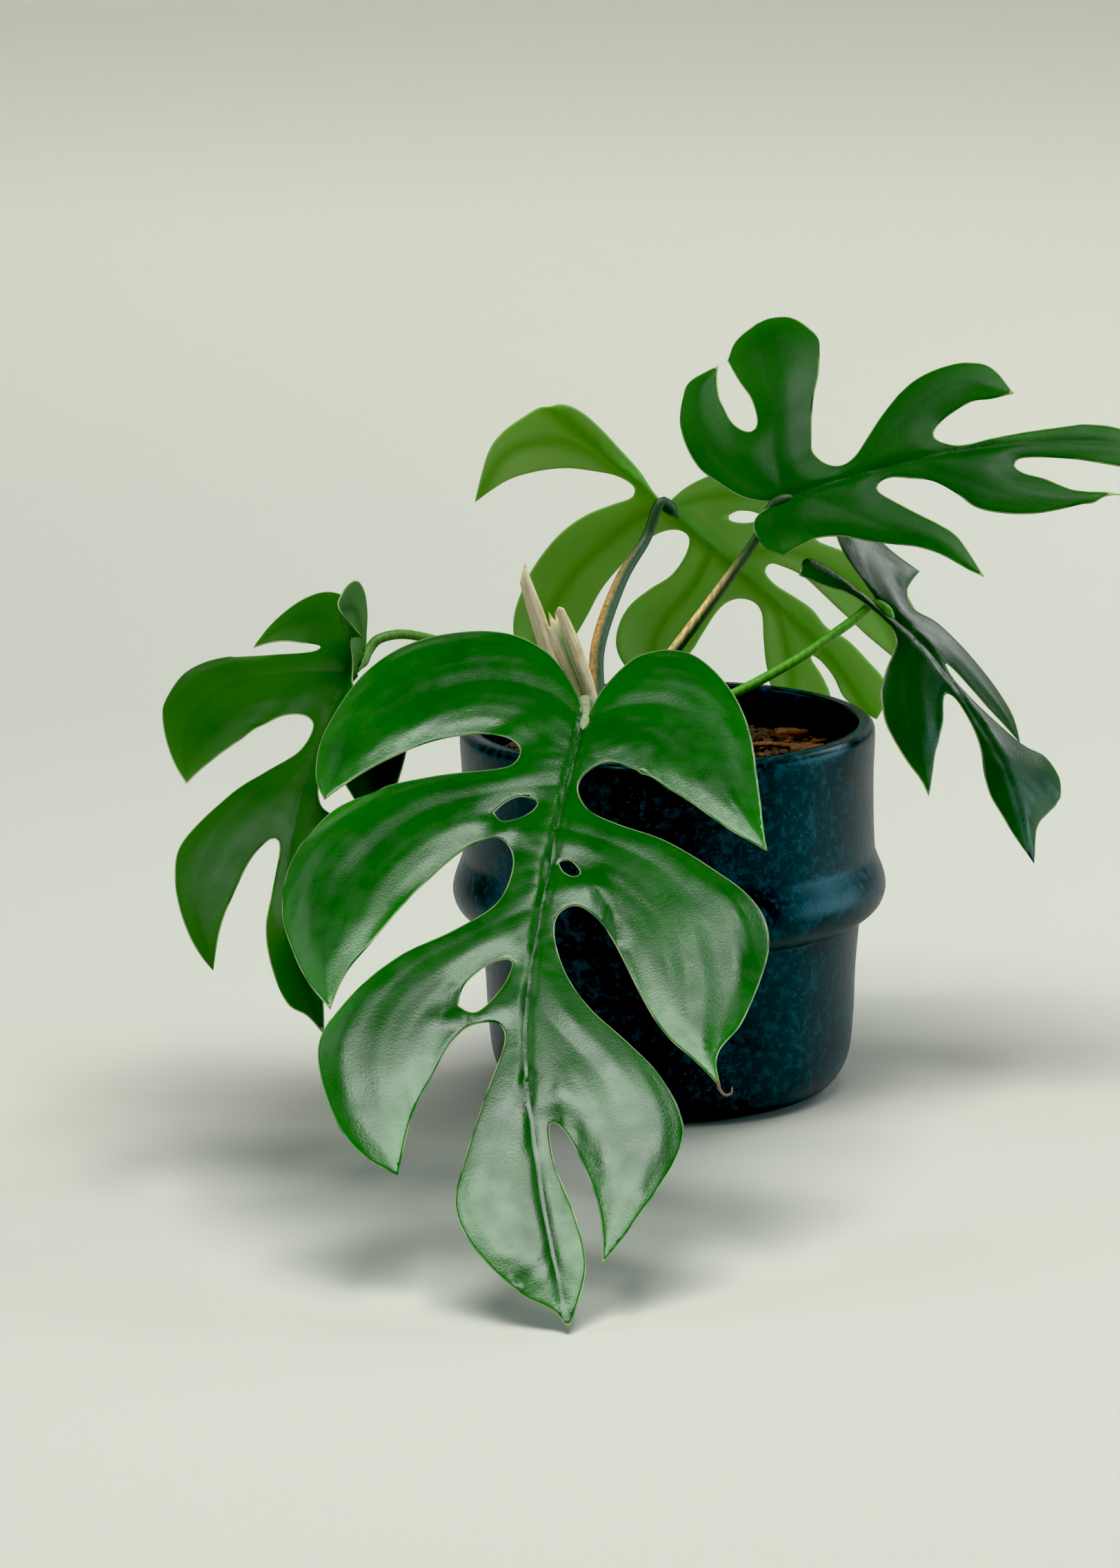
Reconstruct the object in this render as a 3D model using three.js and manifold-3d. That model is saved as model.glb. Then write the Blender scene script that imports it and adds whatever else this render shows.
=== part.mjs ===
// Potted mini monstera: a glazed pot of soil, a short stem, five split leaves on petioles and dried sheaths.
// Millimetres, +Z up, -Y towards the front. The origin is the centre of the pot's flat underside.
import * as THREE from "three";
import { mergeVertices } from "three/addons/utils/BufferGeometryUtils.js";
import { TessellateModifier } from "three/addons/modifiers/TessellateModifier.js";
import ManifoldModule from "manifold-3d";

const kernel = await ManifoldModule();
kernel.setup();

// Clearance left between pieces that touch.
const GAP = 0.3;

// Pot: a straight collar above a rounded ridge, and a narrower body that rounds in to a flat foot.
const POT_HEIGHT = 117.5;
const RIM_RADIUS = 65;
const WALL = 5;
const POT_FLOOR = 6;
const RIDGE_RADIUS = RIM_RADIUS + 3;
const CREASE_RADIUS = RIM_RADIUS - 5;
const BODY_RADIUS = RIM_RADIUS - 7;
const FOOT_RADIUS = RIM_RADIUS - 20;
const CREASE_HEIGHT = POT_HEIGHT * 0.472;
const RIDGE_HEIGHT = POT_HEIGHT * 0.553;
const COLLAR_HEIGHT = POT_HEIGHT * 0.67;
const HEEL_HEIGHT = POT_HEIGHT * 0.205;
const POT_SEGMENTS = 44;

// Soil and what lies on it.
const SOIL_DROP = 12;
const SOIL_LEVEL = POT_HEIGHT - SOIL_DROP;
const SOIL_RADIUS = RIM_RADIUS - WALL - GAP;
const CHIP_THICKNESS = 2.6;
const ROOT_RADIUS = 1.1;

// Stem, petioles and leaves.
const STEM_AT = [-20, 0];
const STEM_RADIUS = 6.5;
const STEM_HEIGHT = 17;
const STEM_FLARE = 1;
const PETIOLE_RADIUS = 1.9;
const LEAF_THICKNESS = 1.2;
const SHEATH_THICKNESS = 0.9;
const SEAT_DEPTH = 0.3;
const SEAT_START = -3;
const SEAT_LENGTH = 6;
const TIP_CLEARANCE = 3;
const FRONT_BASE_RISE = 30.5;

// Mesh fineness.
const LONGEST_EDGE = 22;
const MOST_SPLITS = 30;
const POINTS_PER_STEP = 2;
const TUBE_SIDES = 8;
const TUBE_STEPS = 18;
const STEM_SEGMENTS = 20;
const ARC_DIVISIONS = 400;
const NORMAL_STEP = 0.5;

// Plant coordinates: X and Y from the pot's axis, Z from the top of the soil.
function overSoil([x, y, z]) {
  return [x, y, z + SOIL_LEVEL];
}

// The front leaf hangs over the rim and its tip just clears the floor whatever the pot's height.
const FRONT_BASE_HEIGHT = SOIL_LEVEL + FRONT_BASE_RISE;
function overFloor([x, y, share]) {
  return [x, y, TIP_CLEARANCE + (FRONT_BASE_HEIGHT - TIP_CLEARANCE) * share];
}

// Each blade is drawn flat: u across from the midrib, v along it from where the petiole joins.
// An outline is a row of smooth runs that meet at the lobes' tips and at the base.
// across: sideways direction at base and tip. fold and curl: left and right, in degrees and per metre.
// lift: extra fold of the two basal lobes, in degrees, that fades out over liftReach.
const FRONT_LEAF = {
  midrib: [
    [-25, -82, 1], [-34, -133, 0.79], [-42, -194, 0.5], [-38, -238, 0.24], [-30, -274, 0],
  ].map(overFloor),
  across: [[1, 0, 0], [1, 0, 0]],
  fold: [8, 8],
  curl: [6, 6],
  outline: [
    [[0, 0], [2, -12], [7, -24], [13, -32], [22, -35], [31, -32], [42, -20], [50, -4], [56, 18], [63, 48]],
    [[63, 48], [51, 42], [37, 32], [22, 23], [11, 19], [5, 23], [3, 31], [8, 41], [18, 47], [32, 52],
      [46, 60], [60, 69], [67, 80], [68, 96], [63, 124], [56, 142], [56, 158]],
    [[56, 158], [50, 147], [41, 134], [33, 118], [23, 97], [17, 87], [10, 82], [5, 86], [5, 95], [10, 110],
      [18, 124], [29, 138], [38, 152], [43, 168], [42, 180], [33, 196], [21, 211], [13, 219]],
    [[13, 219], [15, 208], [15, 194], [11, 176], [7, 168], [5, 169], [5, 182], [8, 198], [9, 213],
      [7, 223], [0, 237]],
    [[0, 237], [-3, 231], [-10, 225], [-17, 216], [-23, 204], [-25, 193], [-22, 182], [-16, 166], [-8, 145],
      [-6, 135], [-9, 130], [-16, 132], [-22, 139], [-28, 150], [-34, 161], [-40, 180]],
    [[-40, 180], [-48, 173], [-55, 162], [-60, 145], [-60, 133], [-52, 121], [-40, 108], [-25, 97],
      [-14, 85], [-11, 71], [-13, 60], [-19, 57], [-27, 63], [-37, 79], [-46, 97], [-54, 111],
      [-58, 125]],
    [[-58, 125], [-66, 115], [-73, 102], [-79, 86], [-80, 66], [-73, 47], [-60, 38], [-41, 32], [-22, 27],
      [-17, 22], [-18, 15], [-26, 11], [-37, 12], [-49, 17], [-62, 27], [-74, 39]],
    [[-74, 39], [-79, 28], [-81, 11], [-78, -5], [-72, -20], [-61, -31], [-45, -36], [-29, -36], [-16, -29],
      [-7, -17], [-2, -6], [0, 0]],
  ],
  holes: [
    [[-20, 46], [-17, 41], [-13, 38], [-8, 39], [-9, 44], [-13, 48], [-17, 49]],
    [[2, 64], [5, 63], [8, 66], [9, 69], [7, 70], [4, 68]],
    [[-20, 125], [-19, 117], [-13, 109], [-7, 106], [-6, 109], [-8, 117], [-13, 125], [-17, 127]],
  ],
};

const LEFT_LEAF = {
  midrib: [
    [-95, -25, 40], [-104, -50, 24], [-112, -81, 5], [-115, -110, -22], [-104, -127, -54],
  ].map(overSoil),
  across: [[1, -0.2, 0.1], [1, 0, 0]],
  fold: [6, 6],
  curl: [5, 5],
  lift: [0, 94],
  liftReach: 18,
  outline: [
    [[0, 0], [1.5, -6], [5, -12], [11, -16], [17, -15], [21, -9], [22, 1], [20, 12]],
    [[20, 12], [15, 9], [11, 8], [7, 10], [5, 15], [8, 20], [15, 22], [22, 26], [27, 35], [29, 47],
      [29, 62], [28, 81]],
    [[28, 81], [24, 76], [18, 67], [12, 58], [7, 51], [4, 50], [4, 57], [7, 68], [13, 73], [18, 79],
      [24, 87], [26, 96], [23, 108]],
    [[23, 108], [18, 102], [13, 100], [9, 103], [10, 111], [9, 120], [7, 128], [4, 135], [0, 147]],
    [[0, 147], [-3, 140], [-7, 135], [-8, 126], [-7, 113], [-4, 100], [-3, 88], [-4, 82], [-7, 82],
      [-11, 88], [-16, 101], [-25, 119]],
    [[-25, 119], [-29, 112], [-32, 104], [-34, 95], [-34, 86], [-29, 76], [-21, 64], [-13, 55], [-6, 46],
      [-4, 37], [-5, 31], [-10, 28], [-17, 31], [-24, 38], [-30, 47], [-37, 61]],
    [[-37, 61], [-43, 53], [-49, 43], [-54, 33], [-57, 24], [-56, 13], [-51, 7], [-43, 4], [-33, 3],
      [-23, 2], [-15, 0], [-14, -3], [-20, -4], [-28, -4], [-36, -1]],
    [[-36, -1], [-34, -10], [-31, -17], [-27, -23], [-21, -27], [-14, -26], [-8, -20], [-3, -10], [0, 0]],
  ],
  holes: [],
};

const BACK_LEAF = {
  midrib: [[0, 50, 72], [21, 66, 50], [44, 82, 26], [56, 89, 11.5], [68, 95, -8]].map(overSoil),
  across: [[-0.7, 0, -0.6], [-0.7, 0, -0.6]],
  fold: [4, 4],
  curl: [5, 5],
  outline: [
    [[0, 0], [-1, -8], [-3, -17], [-4, -27], [-5, -38], [-5, -48], [-3, -55], [2, -60], [9, -62], [17, -63],
      [25, -61], [39, -52]],
    [[39, -52], [27, -49], [19, -44], [12, -37], [7, -29], [3, -21], [2, -14], [5, -11], [11, -14],
      [19, -18], [29, -20], [41, -19], [51, -16], [60, -11], [66, -3], [71, 11]],
    [[71, 11], [62, 12], [53, 11], [44, 9], [34, 6], [24, 5], [14, 5], [7, 7], [3, 11], [3, 16], [8, 20],
      [16, 22], [24, 20], [32, 19], [39, 21], [45, 26], [48, 34], [48, 44]],
    [[48, 44], [39, 47], [31, 48], [23, 46], [14, 44], [8, 46], [5, 51], [6, 57], [12, 65], [18, 74],
      [22, 83], [21, 97]],
    [[21, 97], [15, 101], [9, 100], [7, 93], [6, 84], [5, 82], [4, 86], [4, 94], [5, 102], [3, 109],
      [0, 115]],
    [[0, 115], [-5, 112], [-9, 105], [-8, 95], [-7, 86], [-5, 78], [-6, 69], [-5, 60], [-4, 52], [-5, 46],
      [-8, 45], [-10, 49], [-12, 57], [-12, 67], [-12, 78], [-13, 90], [-17, 105]],
    [[-17, 105], [-23, 101], [-29, 95], [-31, 88], [-32, 79], [-30, 71], [-27, 61], [-24, 52], [-25, 48],
      [-28, 50], [-31, 56], [-33, 71]],
    [[-33, 71], [-37, 67], [-40, 60], [-40, 49], [-38, 37], [-33, 26], [-27, 15], [-20, 6], [-10, 1],
      [0, 0]],
  ],
  holes: [[[-11, 20], [-14, 21], [-17, 25], [-18, 29], [-15, 29], [-12, 26], [-10, 22]]],
};

const UPPER_LEAF = {
  midrib: [[36, 5, 81.5], [64, 0, 91], [95, -8, 99], [134, -19, 102.5], [156, -28, 95.5]].map(overSoil),
  across: [[0, 0.64, 0.77], [0, 0.64, 0.77]],
  fold: [4, 4],
  curl: [4, 4],
  outline: [
    [[0, 0], [2, -7], [6, -13], [13, -19], [20, -24], [29, -27], [39, -28], [48, -26], [54, -23],
      [57, -13]],
    [[57, -13], [52, -14], [43, -14], [33, -11], [28, -7], [28, -4], [32, -3], [40, -4], [48, -7],
      [58, -10]],
    [[58, -10], [65, -6], [69, 1], [70, 7], [68, 13], [63, 17], [56, 20], [50, 20], [42, 19], [32, 16],
      [21, 14], [14, 13], [8, 16], [5, 21], [7, 26], [13, 31], [19, 36], [25, 42], [29, 48], [31, 55],
      [31, 62], [28, 69], [18, 76]],
    [[18, 76], [17, 69], [17, 63], [14, 57], [11, 53], [7, 51], [4, 54], [2, 60], [3, 69], [4, 79], [5, 89],
      [6, 99], [6, 108], [4, 118], [0, 128]],
    [[0, 128], [-3, 123], [-6, 116], [-7, 107], [-6, 96], [-5, 85], [-5, 79], [-7, 77], [-10, 80],
      [-13, 88], [-17, 98], [-17, 109], [-15, 121]],
    [[-15, 121], [-18, 114], [-21, 109], [-22, 102], [-24, 93], [-25, 84], [-24, 74], [-21, 65], [-15, 58],
      [-9, 50], [-6, 42], [-4, 36], [-5, 32], [-8, 32], [-13, 37], [-19, 44], [-25, 52], [-31, 59], [-45, 68]],
    [[-45, 68], [-40, 59], [-35, 51], [-31, 43], [-28, 35], [-24, 25], [-20, 17], [-18, 10], [-18, 5],
      [-20, -2]],
    [[-20, -2], [-17, -6], [-12, -9], [-6, -10], [-2, -7], [0, 0]],
  ],
  holes: [],
};

const RIGHT_LEAF = {
  midrib: [[69, 0, 47.5], [82, -2, 34.5], [95, -7, 17], [105, -14, -1], [114, -25, -28]].map(overSoil),
  across: [[0.62, 0.72, 0.3], [0.62, 0.72, 0.3]],
  fold: [0, -15],
  curl: [2, 2],
  outline: [
    [[0, 0], [2, -10], [6, -21], [12, -28], [19, -31], [25, -27], [27, -18], [28, -9], [31, 1]],
    [[31, 1], [24, 1], [17, 2], [12, 5], [12, 9], [15, 14], [17, 22], [18.5, 31], [19.5, 40], [19, 48],
      [15, 56]],
    [[15, 56], [12, 50], [9, 43], [7, 35], [5, 27], [3, 25], [2, 31], [4, 39], [8, 47], [13, 54], [18, 58],
      [25, 61], [29, 66], [29, 70], [25, 75], [18, 78], [11, 81], [6, 85], [0, 94]],
    [[0, 94], [-3, 88], [-5, 83], [-7, 77], [-9, 70], [-8, 63], [-6, 57], [-4, 50], [-3, 43], [-3, 36],
      [-5, 33], [-8, 35], [-12, 40], [-17, 45], [-23, 51], [-32, 65]],
    [[-32, 65], [-32, 57], [-33, 48], [-33, 39], [-32, 31], [-29, 24], [-24, 17], [-18, 13], [-12, 11],
      [-7, 9], [-4, 5], [-4, 0], [-5, -7], [-7, -13], [-11, -19], [-15, -27]],
    [[-15, -27], [-11, -29], [-7, -28], [-4, -20], [-2, -10], [0, 0]],
  ],
  holes: [],
};

// Dried sheaths: narrow papery strips that stand up from the crown.
const TALL_SHEATH = {
  midrib: [[-27, 4, 11], [-34, 4, 28], [-39, 3, 44], [-45, 2, 60]].map(overSoil),
  across: [[1, -0.3, 0.4], [1, 0.2, 0.4]],
  fold: [20, 20],
  curl: [20, 20],
  outline: [
    [[-2, 0], [-2.5, 15], [-2.5, 30], [-2, 45], [-1.5, 52]],
    [[-1.5, 52], [0, 50], [1, 46]],
    [[1, 46], [2.5, 40], [2.5, 25], [2, 12], [1.5, 0]],
    [[1.5, 0], [0, -1], [-2, 0]],
  ],
  holes: [],
};

const TORN_SHEATH = {
  midrib: [[-25, -6, 10], [-28, -7, 24], [-32, -8, 36], [-36, -7, 47]].map(overSoil),
  across: [[1, 0, 0.3], [1, 0.2, 0.3]],
  fold: [15, 15],
  curl: [30, 30],
  outline: [
    [[-2, 0], [-2.5, 12], [-3, 25], [-2.5, 36], [-2, 41]],
    [[-2, 41], [0, 36], [1, 33]],
    [[1, 33], [2.5, 36], [4, 40]],
    [[4, 40], [4.5, 33], [3, 20], [2, 10], [1.5, 0]],
    [[1.5, 0], [0, -1], [-2, 0]],
  ],
  holes: [],
};

const SHORT_SHEATH = {
  midrib: [[-19, -7.5, 10], [-22, -9, 24], [-26, -10, 36], [-29, -10, 47]].map(overSoil),
  across: [[1, 0.2, 0.3], [1, 0, 0.3]],
  fold: [25, 25],
  curl: [25, 25],
  outline: [
    [[-1.5, 0], [-2, 12], [-2.5, 25], [-3, 34], [-3, 40]],
    [[-3, 40], [-1, 38], [0, 34]],
    [[0, 34], [1, 37], [2, 38]],
    [[2, 38], [2.5, 30], [2, 18], [1.5, 8], [1, 0]],
    [[1, 0], [0, -1], [-1.5, 0]],
  ],
  holes: [],
};

// Petioles: the points each one passes between the crown and its blade.
const FRONT_PETIOLE = [[-21, -1, 4], [-22, -16, 11], [-24, -42, 26], [-25, -66, 33]].map(overSoil);
const LEFT_PETIOLE = [
  [-22, 0, 7], [-38, -3, 20], [-60, -9, 36], [-78, -15, 43.5], [-88, -20, 44],
].map(overSoil);
const BACK_PETIOLE = [[-20, 2, 10], [-21, 8, 22], [-20, 16, 35], [-14, 33, 51], [-6, 45, 62]].map(overSoil);
const UPPER_PETIOLE = [[-18, 2, 7], [-8, 2, 21], [4, 3, 36], [18, 6, 54], [29, 8, 69]].map(overSoil);
const RIGHT_PETIOLE = [
  [-18, -2, 3], [-2, -5, 13], [22, -6, 22.5], [42, -4, 33], [58, -1, 43.5],
].map(overSoil);

// Bark chips on the soil: share of the soil's radius, bearing, length, width and turn in degrees.
const CHIPS = [
  [0.737, 8, 13, 7, 20], [0.854, -27, 10, 6, 75], [0.553, -54, 11, 7, 130], [0.821, 38, 12, 6, 160],
  [0.503, 60, 12, 7, 40], [0.771, 95, 11, 6, 100], [0.67, 140, 13, 7, 15], [0.804, 200, 12, 6, 65],
  [0.704, 245, 11, 7, 150], [0.335, 330, 10, 6, 95],
];
const CHIP_OUTLINE = [[-0.5, -0.35], [-0.1, -0.5], [0.42, -0.42], [0.5, 0.1], [0.2, 0.5], [-0.38, 0.4]];

// Surface roots that lie on the soil, in plan, in shares of the soil's radius.
const ROOTS = [
  [[0.37, 0.2], [0.52, 0.27], [0.67, 0.25], [0.84, 0.335]],
  [[0.4, -0.2], [0.553, -0.285], [0.704, -0.235]],
];

function solidFrom(geometry) {
  geometry.deleteAttribute("normal");
  geometry.deleteAttribute("uv");
  const merged = mergeVertices(geometry, 1e-4);
  return new kernel.Manifold(
    new kernel.Mesh({
      numProp: 3,
      vertProperties: new Float32Array(merged.attributes.position.array),
      triVerts: new Uint32Array(merged.index.array),
    }),
  );
}

function geometryFrom(solid) {
  const mesh = solid.getMesh();
  const geometry = new THREE.BufferGeometry();
  geometry.setAttribute("position", new THREE.BufferAttribute(mesh.vertProperties, 3));
  geometry.setIndex(new THREE.BufferAttribute(mesh.triVerts, 1));
  geometry.computeVertexNormals();
  return geometry;
}

function vectors(points) {
  return points.map(([x, y, z]) => new THREE.Vector3(x, y, z));
}

function spine(points) {
  return new THREE.CatmullRomCurve3(vectors(points), false, "catmullrom", 0.5);
}

function smooth(points) {
  const curve = new THREE.SplineCurve(points.map(([x, y]) => new THREE.Vector2(x, y)));
  return curve.getPoints((points.length - 1) * POINTS_PER_STEP);
}

// The bent surface of a blade: at(u, v, w) is the point w above the middle of its thickness.
function bladeSurface(blade) {
  const line = spine(blade.midrib);
  line.arcLengthDivisions = ARC_DIVISIONS;
  const length = line.getLength();
  const [acrossBase, acrossTip] = vectors(blade.across);

  function foldAt(side, v) {
    const lift = blade.lift ? blade.lift[side] : 0;
    const fade = lift ? Math.exp(-((Math.max(v, 0) / blade.liftReach) ** 2)) : 0;
    return THREE.MathUtils.degToRad(blade.fold[side] + lift * fade);
  }

  function middle(u, v) {
    const along = THREE.MathUtils.clamp(v, 0, length);
    const tangent = line.getTangentAt(along / length);
    const point = line.getPointAt(along / length).addScaledVector(tangent, v - along);
    const across = acrossBase.clone().normalize().lerp(acrossTip.clone().normalize(), along / length);
    across.addScaledVector(tangent, -across.dot(tangent)).normalize();
    const up = across.clone().cross(tangent.clone().negate());
    const side = u < 0 ? 0 : 1;
    const fold = foldAt(side, v);
    const bend = blade.curl[side] / 1000;
    const slope = bend * Math.abs(u) - fold;
    const out = (Math.sin(slope) + Math.sin(fold)) / bend;
    const drop = (Math.cos(fold) - Math.cos(slope)) / bend;
    return point.addScaledVector(across, Math.sign(u) * out).addScaledVector(up, -drop);
  }

  function at(u, v, w) {
    const sideways = middle(u + NORMAL_STEP, v).sub(middle(u - NORMAL_STEP, v));
    const backwards = middle(u, v - NORMAL_STEP).sub(middle(u, v + NORMAL_STEP));
    return middle(u, v).addScaledVector(sideways.cross(backwards).normalize(), w);
  }

  return { at };
}

// A smooth run in the drawing plane, without its last point, which the next run starts from.
function drawn(run) {
  return smooth(run.map(([u, v]) => [u, -v])).slice(0, -1);
}

// A hole is wound the other way round from the edge.
function holeWithin(rim, hole) {
  const edge = drawn([...hole, hole[0]]);
  const sameWay = THREE.ShapeUtils.isClockWise(edge) === THREE.ShapeUtils.isClockWise(rim);
  return new THREE.Path(sameWay ? edge.reverse() : edge);
}

// A thin closed plate with the blade's outline, bent to its surface.
function bladeSolid(blade, thickness) {
  const rim = blade.outline.flatMap(drawn);
  const shape = new THREE.Shape(rim);
  shape.holes = blade.holes.map((hole) => holeWithin(rim, hole));
  const flat = new THREE.ExtrudeGeometry(shape, { depth: thickness, bevelEnabled: false });
  const plate = new TessellateModifier(LONGEST_EDGE, MOST_SPLITS).modify(flat);
  const surface = bladeSurface(blade);
  const place = plate.attributes.position;
  for (let i = 0; i < place.count; i++) {
    const point = surface.at(place.getX(i), -place.getY(i), place.getZ(i) - thickness / 2);
    place.setXYZ(i, point.x, point.y, point.z);
  }
  return solidFrom(plate);
}

function tubeSolid(points, radius) {
  const ring = new THREE.Shape();
  ring.absarc(0, 0, radius, 0, 2 * Math.PI, false);
  return solidFrom(
    new THREE.ExtrudeGeometry(ring, {
      curveSegments: TUBE_SIDES / 2,
      steps: TUBE_STEPS,
      extrudePath: spine(points),
      bevelEnabled: false,
    }),
  );
}

function latheSolid(profile, segments) {
  const points = profile.map(([r, z]) => new THREE.Vector2(r, z));
  return solidFrom(new THREE.LatheGeometry(points, segments).rotateX(Math.PI / 2));
}

// Outside of the pot from the foot's edge to just under the lip.
function outerProfile() {
  const foot = [
    [FOOT_RADIUS, 0], [FOOT_RADIUS + 5, 2], [FOOT_RADIUS + 9, 6.5], [BODY_RADIUS - 1.6, 13],
    [BODY_RADIUS - 0.4, HEEL_HEIGHT], [BODY_RADIUS + 0.3, CREASE_HEIGHT * 0.7],
    [CREASE_RADIUS - 0.5, CREASE_HEIGHT - 4], [CREASE_RADIUS, CREASE_HEIGHT],
  ];
  const ridge = [
    [CREASE_RADIUS, CREASE_HEIGHT], [RIDGE_RADIUS - 4.6, CREASE_HEIGHT + 1.8],
    [RIDGE_RADIUS - 1.4, CREASE_HEIGHT + 5], [RIDGE_RADIUS, RIDGE_HEIGHT],
    [RIDGE_RADIUS - 0.8, RIDGE_HEIGHT + 4.6],
    [RIM_RADIUS + 0.4, RIDGE_HEIGHT + 9.5], [RIM_RADIUS - 0.4, COLLAR_HEIGHT],
    [RIM_RADIUS - 0.6, (COLLAR_HEIGHT + POT_HEIGHT) / 2], [RIM_RADIUS, POT_HEIGHT - 5],
  ];
  return [...foot.slice(0, -1), ...ridge];
}

// Inside of the pot from the lip down to the floor: the soil fills the same curve less the gap.
function innerProfile(gap) {
  const narrow = CREASE_RADIUS - WALL - gap;
  return [
    [RIM_RADIUS - WALL - gap, COLLAR_HEIGHT + 6], [narrow + 1, RIDGE_HEIGHT], [narrow - 1.5, CREASE_HEIGHT],
    [BODY_RADIUS - WALL - gap, HEEL_HEIGHT], [FOOT_RADIUS + 4 - gap, POT_FLOOR + 5 + gap],
    [FOOT_RADIUS - 4 - gap, POT_FLOOR + gap],
  ];
}

function pot() {
  const lip = [
    [RIM_RADIUS - 0.3, POT_HEIGHT - 1.6], [RIM_RADIUS - 1.5, POT_HEIGHT - 0.3],
    [RIM_RADIUS - WALL / 2, POT_HEIGHT],
    [RIM_RADIUS - WALL + 1, POT_HEIGHT - 0.6], [RIM_RADIUS - WALL, POT_HEIGHT - 2.6],
  ];
  return latheSolid([[0, 0], ...outerProfile(), ...lip, ...innerProfile(0), [0, POT_FLOOR]], POT_SEGMENTS);
}

function soil() {
  const inside = innerProfile(GAP).reverse();
  const edge = [[SOIL_RADIUS, SOIL_LEVEL - 1], [SOIL_RADIUS - 1, SOIL_LEVEL]];
  return latheSolid([[0, POT_FLOOR + GAP], ...inside, ...edge, [0, SOIL_LEVEL]], POT_SEGMENTS);
}

function stemBody(extra) {
  const foot = SOIL_LEVEL + GAP;
  const radius = STEM_RADIUS + extra;
  const profile = [
    [0, foot - extra], [radius + STEM_FLARE, foot - extra], [radius + STEM_FLARE / 2, foot + 3],
    [radius, foot + STEM_HEIGHT / 2],
    [radius - 0.6, foot + STEM_HEIGHT - 3], [radius - 2.4, foot + STEM_HEIGHT - 0.8 + extra],
    [0, foot + STEM_HEIGHT + extra],
  ];
  return latheSolid(profile, STEM_SEGMENTS).translate([STEM_AT[0], STEM_AT[1], 0]);
}

// A petiole ends flat against the underside of its blade, along the first stretch of the midrib.
function underMidrib(blade, v) {
  return bladeSurface(blade).at(0, v, -(PETIOLE_RADIUS + SEAT_DEPTH)).toArray();
}

function petioleRoute(points, blade) {
  return [...points, underMidrib(blade, SEAT_START), underMidrib(blade, SEAT_LENGTH)];
}

function petiole(points, blade) {
  return tubeSolid(petioleRoute(points, blade), PETIOLE_RADIUS).subtract(stemBody(GAP));
}

// The groove under the blade follows the petiole and runs on past its end by the gap.
function leaf(blade, points) {
  const radius = PETIOLE_RADIUS + GAP;
  const beside = tubeSolid(petioleRoute(points, blade), radius);
  const lastStretch = [SEAT_LENGTH / 2, SEAT_LENGTH + GAP].map((v) => underMidrib(blade, v));
  const pastEnd = tubeSolid(lastStretch, radius);
  return bladeSolid(blade, LEAF_THICKNESS).subtract(beside.add(pastEnd));
}

function sheath(strip) {
  return bladeSolid(strip, SHEATH_THICKNESS).subtract(stemBody(GAP));
}

function barkChip([share, bearing, length, width, turn]) {
  const outline = CHIP_OUTLINE.map(([x, y]) => new THREE.Vector2(x * length, y * width));
  const shape = new THREE.Shape(outline);
  const slab = new THREE.ExtrudeGeometry(shape, { depth: CHIP_THICKNESS, bevelEnabled: false });
  const angle = THREE.MathUtils.degToRad(bearing);
  const distance = share * SOIL_RADIUS;
  slab.rotateZ(THREE.MathUtils.degToRad(turn));
  slab.translate(distance * Math.cos(angle), distance * Math.sin(angle), SOIL_LEVEL + GAP);
  return solidFrom(slab);
}

function surfaceRoot(plan) {
  const height = SOIL_LEVEL + GAP + ROOT_RADIUS;
  const line = plan.map(([x, y]) => [x * SOIL_RADIUS, y * SOIL_RADIUS, height]);
  return tubeSolid(line, ROOT_RADIUS);
}

function glaze() {
  return new THREE.MeshStandardMaterial({ color: 0x10303f, roughness: 0.42, metalness: 0 });
}

function darkSoil() {
  return new THREE.MeshStandardMaterial({ color: 0x1d1512, roughness: 1, metalness: 0 });
}

function greenStem() {
  return new THREE.MeshStandardMaterial({ color: 0x4d7a2c, roughness: 0.5, metalness: 0 });
}

function darkLeaf() {
  return new THREE.MeshStandardMaterial({ color: 0x1d6a1c, roughness: 0.38, metalness: 0 });
}

function paleLeaf() {
  return new THREE.MeshStandardMaterial({ color: 0x5f8f2c, roughness: 0.5, metalness: 0 });
}

function driedSheath() {
  return new THREE.MeshStandardMaterial({ color: 0xcdbb8e, roughness: 0.9, metalness: 0 });
}

function bark() {
  return new THREE.MeshStandardMaterial({ color: 0x7a4a2a, roughness: 0.95, metalness: 0 });
}

const plant = new THREE.Group();

function place(name, solid, material) {
  const mesh = new THREE.Mesh(geometryFrom(solid), material);
  mesh.name = name;
  plant.add(mesh);
}

place("pot", pot(), glaze());
place("soil", soil(), darkSoil());
place("stem", stemBody(0), greenStem());
place("petiole_front", petiole(FRONT_PETIOLE, FRONT_LEAF), greenStem());
place("petiole_left", petiole(LEFT_PETIOLE, LEFT_LEAF), greenStem());
place("petiole_back", petiole(BACK_PETIOLE, BACK_LEAF), greenStem());
place("petiole_upper", petiole(UPPER_PETIOLE, UPPER_LEAF), greenStem());
place("petiole_right", petiole(RIGHT_PETIOLE, RIGHT_LEAF), greenStem());
place("leaf_front", leaf(FRONT_LEAF, FRONT_PETIOLE), darkLeaf());
place("leaf_left", leaf(LEFT_LEAF, LEFT_PETIOLE), darkLeaf());
place("leaf_back", leaf(BACK_LEAF, BACK_PETIOLE), paleLeaf());
place("leaf_upper", leaf(UPPER_LEAF, UPPER_PETIOLE), darkLeaf());
place("leaf_right", leaf(RIGHT_LEAF, RIGHT_PETIOLE), darkLeaf());
place("sheath_tall", sheath(TALL_SHEATH), driedSheath());
place("sheath_torn", sheath(TORN_SHEATH), driedSheath());
place("sheath_short", sheath(SHORT_SHEATH), driedSheath());
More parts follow.
